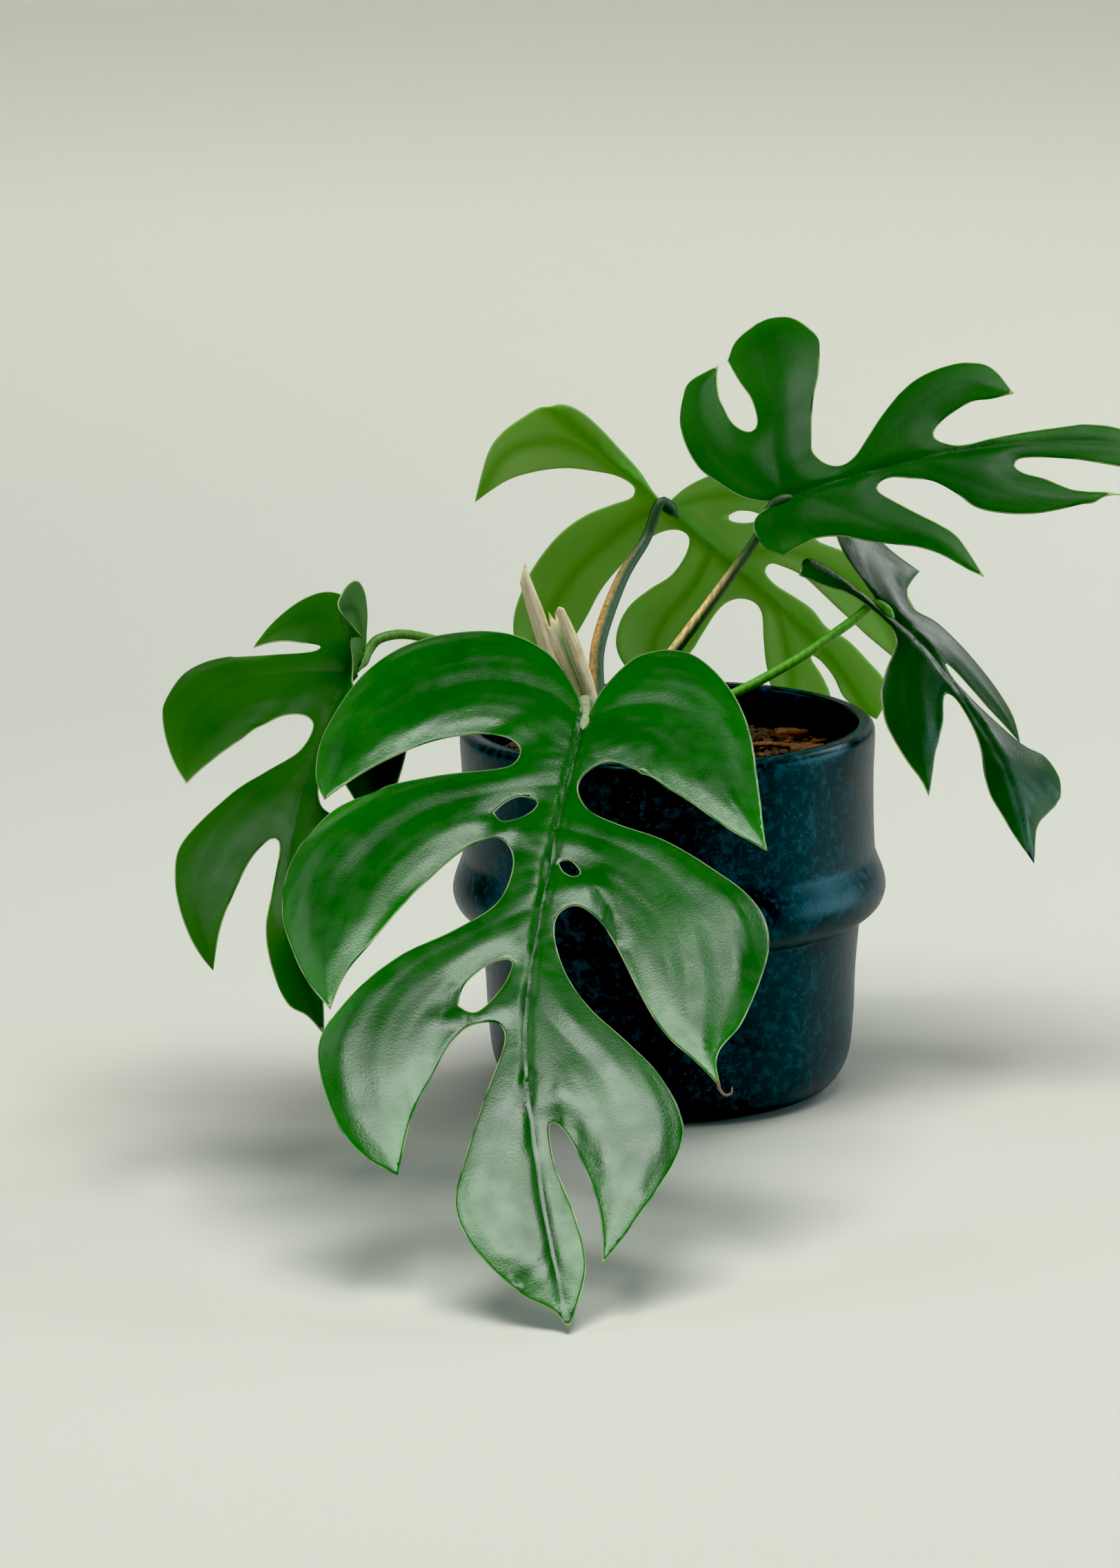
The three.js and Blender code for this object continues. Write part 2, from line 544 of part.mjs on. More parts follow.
CHIPS.forEach((chip, i) => place(`bark_chip_${i + 1}`, barkChip(chip), bark()));
ROOTS.forEach((plan, i) => place(`surface_root_${i + 1}`, surfaceRoot(plan), bark()));

export default plant;
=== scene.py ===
import math

import bpy
import numpy as np
from mathutils import Matrix, Vector, kdtree, noise
from mathutils.geometry import delaunay_2d_cdt


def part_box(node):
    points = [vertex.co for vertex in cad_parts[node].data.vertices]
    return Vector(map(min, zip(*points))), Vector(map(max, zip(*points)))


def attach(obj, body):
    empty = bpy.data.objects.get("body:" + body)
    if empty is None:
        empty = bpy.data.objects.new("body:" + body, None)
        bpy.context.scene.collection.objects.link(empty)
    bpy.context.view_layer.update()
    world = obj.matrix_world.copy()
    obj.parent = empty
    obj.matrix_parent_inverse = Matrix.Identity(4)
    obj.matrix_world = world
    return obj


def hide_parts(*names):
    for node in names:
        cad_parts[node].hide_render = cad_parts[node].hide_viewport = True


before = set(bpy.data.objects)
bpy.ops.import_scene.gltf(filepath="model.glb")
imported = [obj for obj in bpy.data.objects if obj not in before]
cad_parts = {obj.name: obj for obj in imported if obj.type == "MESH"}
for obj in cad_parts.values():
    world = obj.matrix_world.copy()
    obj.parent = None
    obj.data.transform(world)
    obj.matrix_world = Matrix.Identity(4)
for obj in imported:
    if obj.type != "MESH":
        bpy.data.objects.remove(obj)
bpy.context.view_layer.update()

MM = 0.001

# Driving sizes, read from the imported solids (in millimetres from here on).
POT_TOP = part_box("pot")[1]
POT_HEIGHT = POT_TOP.z / MM
RIDGE_RADIUS = POT_TOP.x / MM
RIDGE_OUT = 3
RIM_RADIUS = RIDGE_RADIUS - RIDGE_OUT
WALL = 5
SEAT_GAP = 0.3
SOIL_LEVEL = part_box("soil")[1].z / MM
FRONT_BASE = SOIL_LEVEL + 30.5
FRONT_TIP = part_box("leaf_front")[0].z / MM + 0.8
CHIP_THICKNESS = 2.6


def over_soil(points):
    """Points whose heights are given from the surface of the soil."""
    return [(x, y, z + SOIL_LEVEL) for x, y, z in points]


def over_tip(points):
    """Points whose heights are given as shares, from the front leaf's tip at 0 to its base at 1."""
    return [(x, y, FRONT_TIP + (FRONT_BASE - FRONT_TIP) * share) for x, y, share in points]


# Blades, drawn flat: u across from the midrib, v along it. Each run of an outline starts where the one before
# it ends, at the tip of a lobe. For the halves with u below and above 0, fold is the angle down in degrees,
# curl the bend in radians per metre, and lift what the fold gains near the base.
FRONT = {
    "midrib": over_tip([(-25, -82, 1), (-34, -133, .79), (-42, -194, .5), (-38, -238, .24), (-30, -274, 0)]),
    "across": [(1, 0, 0), (1, 0, 0)], "fold": (8, 8), "curl": (6, 6),
    "outline": [
        [(3, -15), (8, -26), (13, -32), (22, -35), (31, -32), (42, -20), (50, -4), (56, 18), (63, 48)],
        [(51, 42), (37, 32), (22, 23), (11, 19), (5, 23), (3, 31), (8, 41), (18, 47), (32, 52), (46, 60),
         (60, 69), (67, 80), (68, 96), (63, 124), (56, 142), (56, 158)],
        [(50, 147), (41, 134), (33, 118), (23, 97), (17, 87), (10, 82), (5, 86), (5, 95), (10, 110),
         (18, 124), (29, 138), (38, 152), (43, 168), (42, 180), (33, 196), (21, 211), (13, 219)],
        [(15, 208), (15, 194), (11, 176), (7, 168), (5, 169), (5, 182), (8, 198), (9, 213), (7, 223),
         (0, 237)],
        [(-3, 231), (-10, 225), (-17, 216), (-23, 204), (-25, 193), (-22, 182), (-16, 166), (-8, 145),
         (-6, 135), (-9, 130), (-16, 132), (-22, 139), (-28, 150), (-34, 161), (-40, 180)],
        [(-48, 173), (-55, 162), (-60, 145), (-60, 133), (-52, 121), (-40, 108), (-25, 97), (-14, 85),
         (-11, 71), (-13, 60), (-19, 57), (-27, 63), (-37, 79), (-46, 97), (-54, 111), (-58, 125)],
        [(-66, 115), (-73, 102), (-79, 86), (-80, 66), (-73, 47), (-60, 38), (-41, 32), (-22, 27), (-17, 22),
         (-18, 15), (-26, 11), (-37, 12), (-49, 17), (-62, 27), (-74, 39)],
        [(-79, 28), (-81, 11), (-78, -5), (-72, -20), (-61, -31), (-45, -36), (-29, -36), (-16, -29),
         (-8, -19), (-3, -10), (0, -4)],
    ],
    "holes": [
        [(-20, 46), (-17, 41), (-13, 38), (-8, 39), (-9, 44), (-13, 48), (-17, 49)],
        [(2, 64), (5, 63), (8, 66), (9, 69), (7, 70), (4, 68)],
        [(-20, 125), (-19, 117), (-13, 109), (-7, 106), (-6, 109), (-8, 117), (-13, 125), (-17, 127)],
    ],
    "veins": [
        [(0, 1), (12, -7), (28, -7), (42, 6), (53, 26), (61, 44)],
        [(0, 50), (14, 55), (32, 65), (48, 83), (56, 108), (57, 135), (56, 152)],
        [(0, 116), (8, 131), (20, 150), (26, 172), (22, 196), (14, 214)],
        [(0, 0), (-14, -10), (-34, -12), (-54, -2), (-68, 18), (-73, 34)],
        [(0, 30), (-20, 38), (-42, 50), (-58, 72), (-63, 98), (-59, 121)],
        [(0, 82), (-16, 96), (-34, 112), (-46, 130), (-48, 152), (-41, 176)],
        [(0, 150), (-8, 168), (-14, 188), (-13, 206)],
    ],
}

LEFT = {
    "midrib": over_soil([(-95, -25, 40), (-104, -50, 24), (-112, -81, 5), (-115, -110, -22),
                         (-104, -127, -54)]),
    "across": [(1, -.2, .1), (1, 0, 0)], "fold": (6, 6), "curl": (5, 5), "lift": (0, 94), "lift_reach": 18,
    "outline": [
        [(1.5, -6), (5, -12), (11, -16), (17, -15), (21, -9), (22, 1), (20, 12)],
        [(15, 9), (11, 8), (7, 10), (5, 15), (8, 20), (15, 22), (22, 26), (27, 35), (29, 47), (29, 62),
         (28, 81)],
        [(24, 76), (18, 67), (12, 58), (7, 51), (4, 50), (4, 57), (7, 68), (13, 73), (18, 79), (24, 87),
         (26, 96), (23, 108)],
        [(18, 102), (13, 100), (9, 103), (10, 111), (9, 120), (7, 128), (4, 135), (0, 147)],
        [(-3, 140), (-7, 135), (-8, 126), (-7, 113), (-4, 100), (-3, 88), (-4, 82), (-7, 82), (-11, 88),
         (-16, 101), (-25, 119)],
        [(-29, 112), (-32, 104), (-34, 95), (-34, 86), (-29, 76), (-21, 64), (-13, 55), (-6, 46), (-4, 37),
         (-5, 31), (-10, 28), (-17, 31), (-24, 38), (-30, 47), (-37, 61)],
        [(-43, 53), (-49, 43), (-54, 33), (-57, 24), (-56, 13), (-51, 7), (-43, 4), (-33, 3), (-23, 2),
         (-15, 0), (-14, -3), (-20, -4), (-28, -4), (-36, -1)],
        [(-34, -10), (-31, -17), (-27, -23), (-21, -27), (-14, -26), (-8, -20), (-3, -10), (0, 0)],
    ],
    "veins": [
        [(0, 0), (6, -6), (12, -8), (17, -3), (19, 8)],
        [(0, 20), (10, 29), (20, 45), (26, 62), (28, 78)],
        [(0, 58), (8, 72), (18, 88), (23, 104)],
        [(0, 0), (-10, -12), (-22, -16), (-33, -5)],
        [(0, 8), (-18, 12), (-38, 20), (-44, 38), (-38, 57)],
        [(0, 46), (-12, 62), (-22, 80), (-27, 100), (-25, 115)],
    ],
}

BACK = {
    "midrib": over_soil([(0, 50, 72), (21, 66, 50), (44, 82, 26), (56, 89, 11.5), (68, 95, -8)]),
    "across": [(-.7, 0, -.6), (-.7, 0, -.6)], "fold": (4, 4), "curl": (5, 5),
    "outline": [
        [(-1, -8), (-3, -17), (-4, -27), (-5, -38), (-5, -48), (-3, -55), (2, -60), (9, -62), (17, -63),
         (25, -61), (39, -52)],
        [(27, -49), (19, -44), (12, -37), (7, -29), (3, -21), (2, -14), (5, -11), (11, -14), (19, -18),
         (29, -20), (41, -19), (51, -16), (60, -11), (66, -3), (71, 11)],
        [(62, 12), (53, 11), (44, 9), (34, 6), (24, 5), (14, 5), (7, 7), (3, 11), (3, 16), (8, 20), (16, 22),
         (24, 20), (32, 19), (39, 21), (45, 26), (48, 34), (48, 44)],
        [(39, 47), (31, 48), (23, 46), (14, 44), (8, 46), (5, 51), (6, 57), (12, 65), (18, 74), (22, 83),
         (21, 97)],
        [(15, 101), (9, 100), (7, 93), (6, 84), (5, 82), (4, 86), (4, 94), (5, 102), (3, 109), (0, 115)],
        [(-5, 112), (-9, 105), (-8, 95), (-7, 86), (-5, 78), (-6, 69), (-5, 60), (-4, 52), (-5, 46),
         (-8, 45), (-10, 49), (-12, 57), (-12, 67), (-12, 78), (-13, 90), (-17, 105)],
        [(-23, 101), (-29, 95), (-31, 88), (-32, 79), (-30, 71), (-27, 61), (-24, 52), (-25, 48), (-28, 50),
         (-31, 56), (-33, 71)],
        [(-37, 67), (-40, 60), (-40, 49), (-38, 37), (-33, 26), (-27, 15), (-20, 6), (-10, 1), (0, 0)],
    ],
    "holes": [[(-11, 20), (-14, 21), (-17, 25), (-18, 29), (-15, 29), (-12, 26), (-10, 22)]],
    "veins": [
        [(0, 0), (-1, -14), (2, -32), (8, -47), (20, -56), (36, -53)],
        [(0, 0), (16, -4), (36, -5), (56, 0), (69, 9)],
        [(0, 26), (14, 32), (30, 34), (44, 41)],
        [(0, 58), (6, 70), (14, 84), (20, 94)],
        [(0, 2), (-14, 12), (-28, 30), (-35, 50), (-34, 68)],
        [(0, 34), (-14, 44), (-20, 62), (-22, 82), (-18, 101)],
    ],
}

UPPER = {
    "midrib": over_soil([(36, 5, 81.5), (64, 0, 91), (95, -8, 99), (134, -19, 102.5), (156, -28, 95.5)]),
    "across": [(0, .64, .77), (0, .64, .77)], "fold": (4, 4), "curl": (4, 4),
    "outline": [
        [(2, -7), (6, -13), (13, -19), (20, -24), (29, -27), (39, -28), (48, -26), (54, -23), (57, -13)],
        [(52, -14), (43, -14), (33, -11), (28, -7), (28, -4), (32, -3), (40, -4), (48, -7), (58, -10)],
        [(65, -6), (69, 1), (70, 7), (68, 13), (63, 17), (56, 20), (50, 20), (42, 19), (32, 16), (21, 14),
         (14, 13), (8, 16), (5, 21), (7, 26), (13, 31), (19, 36), (25, 42), (29, 48), (31, 55), (31, 62),
         (28, 69), (18, 76)],
        [(17, 69), (17, 63), (14, 57), (11, 53), (7, 51), (4, 54), (2, 60), (3, 69), (4, 79), (5, 89),
         (6, 99), (6, 108), (4, 118), (0, 128)],
        [(-3, 123), (-6, 116), (-7, 107), (-6, 96), (-5, 85), (-5, 79), (-7, 77), (-10, 80), (-13, 88),
         (-17, 98), (-17, 109), (-15, 121)],
        [(-18, 114), (-21, 109), (-22, 102), (-24, 93), (-25, 84), (-24, 74), (-21, 65), (-15, 58), (-9, 50),
         (-6, 42), (-4, 36), (-5, 32), (-8, 32), (-13, 37), (-19, 44), (-25, 52), (-31, 59), (-45, 68)],
        [(-40, 59), (-35, 51), (-31, 43), (-28, 35), (-24, 25), (-20, 17), (-18, 10), (-18, 5), (-20, -2)],
        [(-17, -6), (-12, -9), (-6, -10), (-2, -7), (0, 0)],
    ],
    "veins": [
        [(0, 0), (12, -12), (28, -20), (46, -21), (56, -15)],
        [(0, 2), (16, 1), (34, 3), (52, 3), (66, 2)],
        [(0, 22), (10, 37), (20, 50), (24, 62), (19, 74)],
        [(0, 0), (-8, -4), (-17, -3)],
        [(0, 6), (-10, 18), (-22, 34), (-32, 50), (-42, 64)],
        [(0, 44), (-10, 58), (-18, 76), (-20, 96), (-16, 116)],
    ],
}

RIGHT = {
    "midrib": over_soil([(69, 0, 47.5), (82, -2, 34.5), (95, -7, 17), (105, -14, -1), (114, -25, -28)]),
    "across": [(.62, .72, .3), (.62, .72, .3)], "fold": (0, -15), "curl": (2, 2),
    "outline": [
        [(2, -10), (6, -21), (12, -28), (19, -31), (25, -27), (27, -18), (28, -9), (31, 1)],
        [(24, 1), (17, 2), (12, 5), (12, 9), (15, 14), (17, 22), (18.5, 31), (19.5, 40), (19, 48), (15, 56)],
        [(12, 50), (9, 43), (7, 35), (5, 27), (3, 25), (2, 31), (4, 39), (8, 47), (13, 54), (18, 58),
         (25, 61), (29, 66), (29, 70), (25, 75), (18, 78), (11, 81), (6, 85), (0, 94)],
        [(-3, 88), (-5, 83), (-7, 77), (-9, 70), (-8, 63), (-6, 57), (-4, 50), (-3, 43), (-3, 36), (-5, 33),
         (-8, 35), (-12, 40), (-17, 45), (-23, 51), (-32, 65)],
        [(-32, 57), (-33, 48), (-33, 39), (-32, 31), (-29, 24), (-24, 17), (-18, 13), (-12, 11), (-7, 9),
         (-4, 5), (-4, 0), (-5, -7), (-7, -13), (-11, -19), (-15, -27)],
        [(-11, -29), (-7, -28), (-4, -20), (-2, -10), (0, 0)],
    ],
    "veins": [
        [(0, 0), (10, -14), (20, -18), (27, -6), (30, 0)],
        [(0, 8), (9, 16), (13, 30), (15, 50)],
        [(0, 46), (9, 57), (19, 67)],
        [(0, 14), (-14, 20), (-24, 34), (-29, 52), (-31, 62)],
        [(0, 0), (-5, -12), (-12, -24)],
    ],
}


# ---------------------------------------------------------------- curves and surfaces

FAR = 1e9


def catmull(points, per_step, mirrored_ends=True):
    """Points along a Catmull-Rom curve through the given ones."""
    p = np.asarray(points, float)
    first, last = (2 * p[0] - p[1], 2 * p[-1] - p[-2]) if mirrored_ends else (p[0], p[-1])
    p = np.vstack([first, p, last])
    t = (np.arange(per_step) / per_step)[:, None]
    out = []
    for i in range(len(p) - 3):
        a, b, c, d = p[i:i + 4]
        v0, v1 = (c - a) / 2, (d - b) / 2
        out.append((2 * b - 2 * c + v0 + v1) * t ** 3 + (-3 * b + 3 * c - 2 * v0 - v1) * t ** 2 + v0 * t + b)
    out.append(p[-2:-1])
    return np.vstack(out)


def evenly(points, spacing):
    """The same polyline cut into equal steps of about the spacing, ends kept."""
    lengths = arc_lengths(points)
    count = max(2, int(round(lengths[-1] / spacing)) + 1)
    at = np.linspace(0, lengths[-1], count)
    return np.stack([np.interp(at, lengths, points[:, k]) for k in range(points.shape[1])], 1)


def arc_lengths(points):
    """How far along the polyline each of its points lies."""
    return np.r_[0, np.cumsum(np.linalg.norm(np.diff(points, axis=0), axis=1))]


def unit(v):
    return v / np.linalg.norm(v, axis=-1, keepdims=True)


def turns(count):
    """That many equal steps round a circle, in radians."""
    return np.arange(count) / count * 2 * math.pi


def bell(x, width):
    """1 at zero, falling to 0.37 at the width."""
    return np.exp(-(x / width) ** 2)


def smoothstep(low, high, x):
    t = np.clip((x - low) / (high - low), 0, 1)
    return t * t * (3 - 2 * t)


def uneven(x, y, size, layer):
    """Smooth noise from about -1 to 1 in patches of the given size; each layer is another pattern."""
    return noise.noise(Vector((x / size, y / size, layer)))


class Blade:
    """The bent middle surface of a blade, the same as the one the solids follow."""

    def __init__(self, spec):
        self.spec = spec
        self.line = catmull(spec["midrib"], 100)
        self.arc = arc_lengths(self.line)
        self.length = self.arc[-1]
        self.tangent = unit(np.gradient(self.line, axis=0))

    def middle(self, u, v):
        spec = self.spec
        on = np.clip(v, 0, self.length)
        point = np.stack([np.interp(on, self.arc, self.line[:, k]) for k in range(3)], -1)
        tangent = unit(np.stack([np.interp(on, self.arc, self.tangent[:, k]) for k in range(3)], -1))
        point = point + tangent * (v - on)[:, None]
        share = (on / self.length)[:, None]
        base, tip = (unit(np.array(a, float)) for a in spec["across"])
        across = base * (1 - share) + tip * share
        across = unit(across - tangent * np.sum(across * tangent, -1, keepdims=True))
        up = np.cross(across, -tangent)
        side = np.where(u < 0, 0, 1)
        lift = np.array(spec.get("lift", (0, 0)), float)[side]
        fade = bell(np.maximum(v, 0), spec.get("lift_reach", 1))
        fold = np.radians(np.array(spec["fold"], float)[side] + lift * fade)
        bend = np.array(spec["curl"], float)[side] / 1000
        slope = bend * np.abs(u) - fold
        out = (np.sin(slope) + np.sin(fold)) / bend
        drop = (np.cos(fold) - np.cos(slope)) / bend
        return point + across * (np.sign(u) * out)[:, None] - up * drop[:, None]

    def normal(self, u, v):
        step = 0.5
        sideways = self.middle(u + step, v) - self.middle(u - step, v)
        backwards = self.middle(u, v - step) - self.middle(u, v + step)
        return unit(np.cross(sideways, backwards))


# ---------------------------------------------------------------- flat measurements

def segment_distance(points, starts, ends):
    """Least distance from each point to a set of segments, and which segment and where on it."""
    best = np.full(len(points), FAR)
    which = np.zeros(len(points), int)
    where = np.zeros(len(points))
    for i, (a, b) in enumerate(zip(starts, ends)):
        d = b - a
        t = np.clip(((points - a) @ d) / max(d @ d, 1e-12), 0, 1)
        gap = np.hypot(*(points - a - t[:, None] * d).T)
        nearer = gap < best
        best[nearer], which[nearer], where[nearer] = gap[nearer], i, t[nearer]
    return best, which, where


def side_veins(flat, veins):
    """The gaps from each point to the nearest two side veins, how far along the nearest one it lies, and on
    which side of it, where above 0 is towards the blade's tip."""
    nearest, second = np.full(len(flat), FAR), np.full(len(flat), FAR)
    reach, tip_side = np.zeros(len(flat)), np.zeros(len(flat))
    for line in veins:
        gap, which, where = segment_distance(flat, line[:-1], line[1:])
        away, run = (flat - line[which]).T, (line[which + 1] - line[which]).T
        side = np.sign(run[0] * away[1] - run[1] * away[0]) * np.sign(line[-1, 0])
        nearer = gap < nearest
        second = np.where(nearer, nearest, np.minimum(second, gap))
        nearest[nearer], tip_side[nearer] = gap[nearer], side[nearer]
        reach[nearer] = ((which + where) / (len(line) - 1))[nearer]
    return nearest, second, reach, tip_side


def inside(points, loops):
    """Whether each point is within the outer loop and outside the holes."""
    x, y = points.T
    odd = np.zeros(len(points), bool)
    for loop in loops:
        for (x0, y0), (x1, y1) in zip(loop, np.roll(loop, -1, 0)):
            crosses = (y0 > y) != (y1 > y)
            if y0 != y1:
                odd ^= crosses & (x < x0 + (y - y0) / (y1 - y0) * (x1 - x0))
    return odd


def loops_of(spec, spacing):
    """The blade's edge and then its holes, as closed loops of evenly spaced points."""
    before = spec["outline"][-1:] + spec["outline"]
    runs = [last[-1:] + run for last, run in zip(before, spec["outline"])]
    edge = [evenly(catmull(run, 12, False), spacing)[:-1] for run in runs]
    holes = [evenly(catmull(hole + hole[:1], 12, False), spacing)[:-1] for hole in spec.get("holes", [])]
    return [np.vstack(edge)] + holes


def vein_lines(spec, length):
    """The midrib first, then the side veins."""
    lines = [evenly(np.array([(0.0, 0.0), (0.0, length - 3)]), 2)]
    return lines + [evenly(catmull(vein, 12), 2) for vein in spec.get("veins", [])]


def beside(line, along, offset):
    """The line moved sideways; along holds its direction at each point."""
    return line + offset * np.stack([-along[:, 1], along[:, 0]], 1)


def add_apart(kept, new, least):
    """Adds the points that lie at least that far from the ones already kept."""
    tree = kdtree.KDTree(len(kept))
    for i, p in enumerate(kept):
        tree.insert((p[0], p[1], 0), i)
    tree.balance()
    far = [p for p in new if tree.find((p[0], p[1], 0))[2] >= least]
    return np.vstack([kept, far]) if far else kept


# Extra rows of points on both sides of each vein and along the edge, in millimetres away from it.
BESIDE_VEINS = (0.8, -0.8, 1.8, -1.8, 3.2, -3.2)
BESIDE_EDGE = (0.75, -0.75, 2.0, -2.0)
ROW_STEP = 0.866


def flat_mesh(spec, length, grid, edge_spacing):
    """Flat points and triangles that follow the edge and the veins, each point's gap to the edge, and the
    veins."""
    loops = loops_of(spec, edge_spacing)
    starts = np.vstack(loops)
    ends = np.vstack([np.roll(loop, -1, 0) for loop in loops])
    veins = vein_lines(spec, length)

    def in_blade(points, margin):
        points = points[inside(points, loops)]
        return points[segment_distance(points, starts, ends)[0] > margin]

    kept = starts
    for line in veins:
        kept = add_apart(kept, in_blade(line, 0.6), 0.6)
    for offset in BESIDE_VEINS:
        for line in veins:
            row = beside(line, unit(np.gradient(line, axis=0)), offset)
            kept = add_apart(kept, in_blade(row, 0.6), 0.7)
    forward = np.roll(starts, -1, 0) - np.roll(starts, 1, 0)
    forward = unit(np.where(np.abs(forward).sum(1, keepdims=True) < 1e-9, 1, forward))
    for offset in BESIDE_EDGE:
        kept = add_apart(kept, in_blade(beside(starts, forward, offset), abs(offset) * 0.9), 0.65)
    low, high = starts.min(0), starts.max(0)
    rows = np.arange(low[1], high[1], grid * ROW_STEP)
    lattice = np.array([(x + (i % 2) * grid / 2, y) for i, y in enumerate(rows)
                        for x in np.arange(low[0], high[0], grid)])
    kept = add_apart(kept, in_blade(lattice, 1.0), grid * 0.6)

    edges, first = [], 0
    for loop in loops:
        n = len(loop)
        edges += [(first + i, first + (i + 1) % n) for i in range(n)]
        first += n
    result = delaunay_2d_cdt([Vector(p) for p in kept], edges, [], 0, 1e-5)
    points = np.array([tuple(p) for p in result[0]])
    faces = np.array([tuple(f) for f in result[2]])
    faces = faces[inside(points[faces].mean(1), loops)]
    used = np.unique(faces)
    renumber = np.full(len(points), -1)
    renumber[used] = np.arange(len(used))
    points, faces = points[used], renumber[faces]
    a, b, c = (points[faces[:, k]] for k in range(3))
    turn = (b[:, 0] - a[:, 0]) * (c[:, 1] - a[:, 1]) - (b[:, 1] - a[:, 1]) * (c[:, 0] - a[:, 0])
    faces[turn > 0] = faces[turn > 0][:, ::-1]
    return points, faces, segment_distance(points, starts, ends)[0], veins


# ---------------------------------------------------------------- mesh helpers

def mesh_object(name, vertices, faces, material, attributes=(), smooth=True):
    """A linked object from vertices in millimetres, with numbers or vectors for its points as attributes."""
    mesh = bpy.data.meshes.new(name)
    mesh.from_pydata((np.asarray(vertices) * MM).tolist(), [], [list(map(int, f)) for f in faces])
    mesh.validate()
    for key, values in dict(attributes).items():
        values = np.asarray(values, np.float32)
        if values.ndim == 1:
            mesh.attributes.new(key, "FLOAT", "POINT").data.foreach_set("value", values)
        else:
            mesh.attributes.new(key, "FLOAT_VECTOR", "POINT").data.foreach_set("vector", values.ravel())
    mesh.polygons.foreach_set("use_smooth", [smooth] * len(mesh.polygons))
    mesh.materials.append(material)
    piece = bpy.data.objects.new(name, mesh)
    bpy.context.scene.collection.objects.link(piece)
    return piece


def place(piece, node):
    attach(piece, "root")
    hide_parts(node)


def ring_faces(rows, around):
    """Quads between rings of points, then a fan at each end to the two points that follow the rings."""
    after = [(k + 1) % around for k in range(around)]
    last, total = (rows - 1) * around, rows * around
    faces = [(low + k, low + after[k], low + around + after[k], low + around + k)
             for low in range(0, last, around) for k in range(around)]
    faces += [(after[k], k, total) for k in range(around)]
    return faces + [(last + k, last + after[k], total + 1) for k in range(around)]


def two_sided(faces, n):
    """The faces of a sheet of n points, of its copy underneath, and of the strip that joins their rims."""
    sides = dict.fromkeys((f[i], f[(i + 1) % 3]) for f in faces for i in range(3))
    rim = [(b, a, a + n, b + n) for a, b in sides if (b, a) not in sides]
    return [tuple(f) for f in faces] + [tuple(f[::-1] + n) for f in faces] + rim


# A blade's relief in millimetres: grooves, swells and ripples on its middle surface, and ribs underneath.
MIDRIB_GROOVE, SIDE_GROOVE = 0.9, 0.35
SWELL, WANDER, GRAIN = 0.7, 0.4, 0.05
DROOP, DROOP_REACH = 0.07, 14
RIPPLE, RIPPLE_PITCH = 0.05, 5.5
ROLLED_EDGE, ROLL_REACH = 0.85, 4.5
MIDRIB_RIB, SIDE_RIB = 0.9, 0.4


def blade_piece(name, spec, material, seed, grid=2.4, edge_spacing=1.5, relief=1.0, thickness=0.5, rib=1.0):
    """A thin two-sided blade: grooves and swells on top, raised veins underneath."""
    blade = Blade(spec)
    flat, faces, edge, veins = flat_mesh(spec, blade.length, grid, edge_spacing)
    u, v = flat.T
    along = np.clip(v / blade.length, 0, 1)
    lateral, second, reach, tip_side = side_veins(flat, veins[1:])
    inner = smoothstep(0.5, 7, edge)
    alone = smoothstep(0, 7, second - lateral) * (1 - bell(u, 10))
    swell = (1 - bell(lateral, 6.5)) * (1 - bell(u, 8)) * smoothstep(0, 11, edge)
    droop = np.where(tip_side > 0, -np.minimum(lateral, DROOP_REACH) * DROOP, 0) * alone
    ripple = np.cos(lateral * 2 * math.pi / RIPPLE_PITCH) * (1 - bell(lateral, 4)) * inner
    wander = np.array([uneven(x, y, 24, seed) for x, y in flat])
    grain = np.array([uneven(x, y, 8, seed + 5) for x, y in flat])
    shape = relief * (
        -MIDRIB_GROOVE * bell(u, 1.5) * (1 - 0.6 * along)
        - SIDE_GROOVE * bell(lateral, 1.8) * (1 - 0.75 * reach) * inner
        + SWELL * swell + droop + RIPPLE * ripple + WANDER * wander * inner + GRAIN * grain * inner
        - ROLLED_EDGE * bell(edge, ROLL_REACH)
    )
    half = thickness / 2 * np.clip(0.25 + np.sqrt(edge / 1.2), 0.25, 1)
    under = rib * (
        MIDRIB_RIB * bell(u, 1.2) * (1 - 0.7 * along) + SIDE_RIB * bell(lateral, 0.9) * (1 - 0.8 * reach)
    ) * smoothstep(0, 1.5, edge)
    middle = blade.middle(u, v)
    normal = blade.normal(u, v)
    top = middle + normal * (shape + half)[:, None]
    bottom = middle + normal * (shape - half - under)[:, None]
    n = len(flat)
    attributes = {
        "edge": np.tile(np.minimum(edge, 12), 2),
        "midrib": np.tile(np.minimum(np.abs(u), 30), 2),
        "lateral": np.tile(np.minimum(lateral, 60), 2),
        "reach": np.tile(reach, 2),
        "along": np.tile(along, 2),
        "under": np.r_[np.zeros(n), np.ones(n)],
        "flat": np.tile(np.stack([u, v, np.full(n, seed)], 1), (2, 1)),
    }
    return mesh_object(name, np.vstack([top, bottom]), two_sided(faces, n), material, attributes)


def round_section(angle, share):
    return np.ones(len(angle))


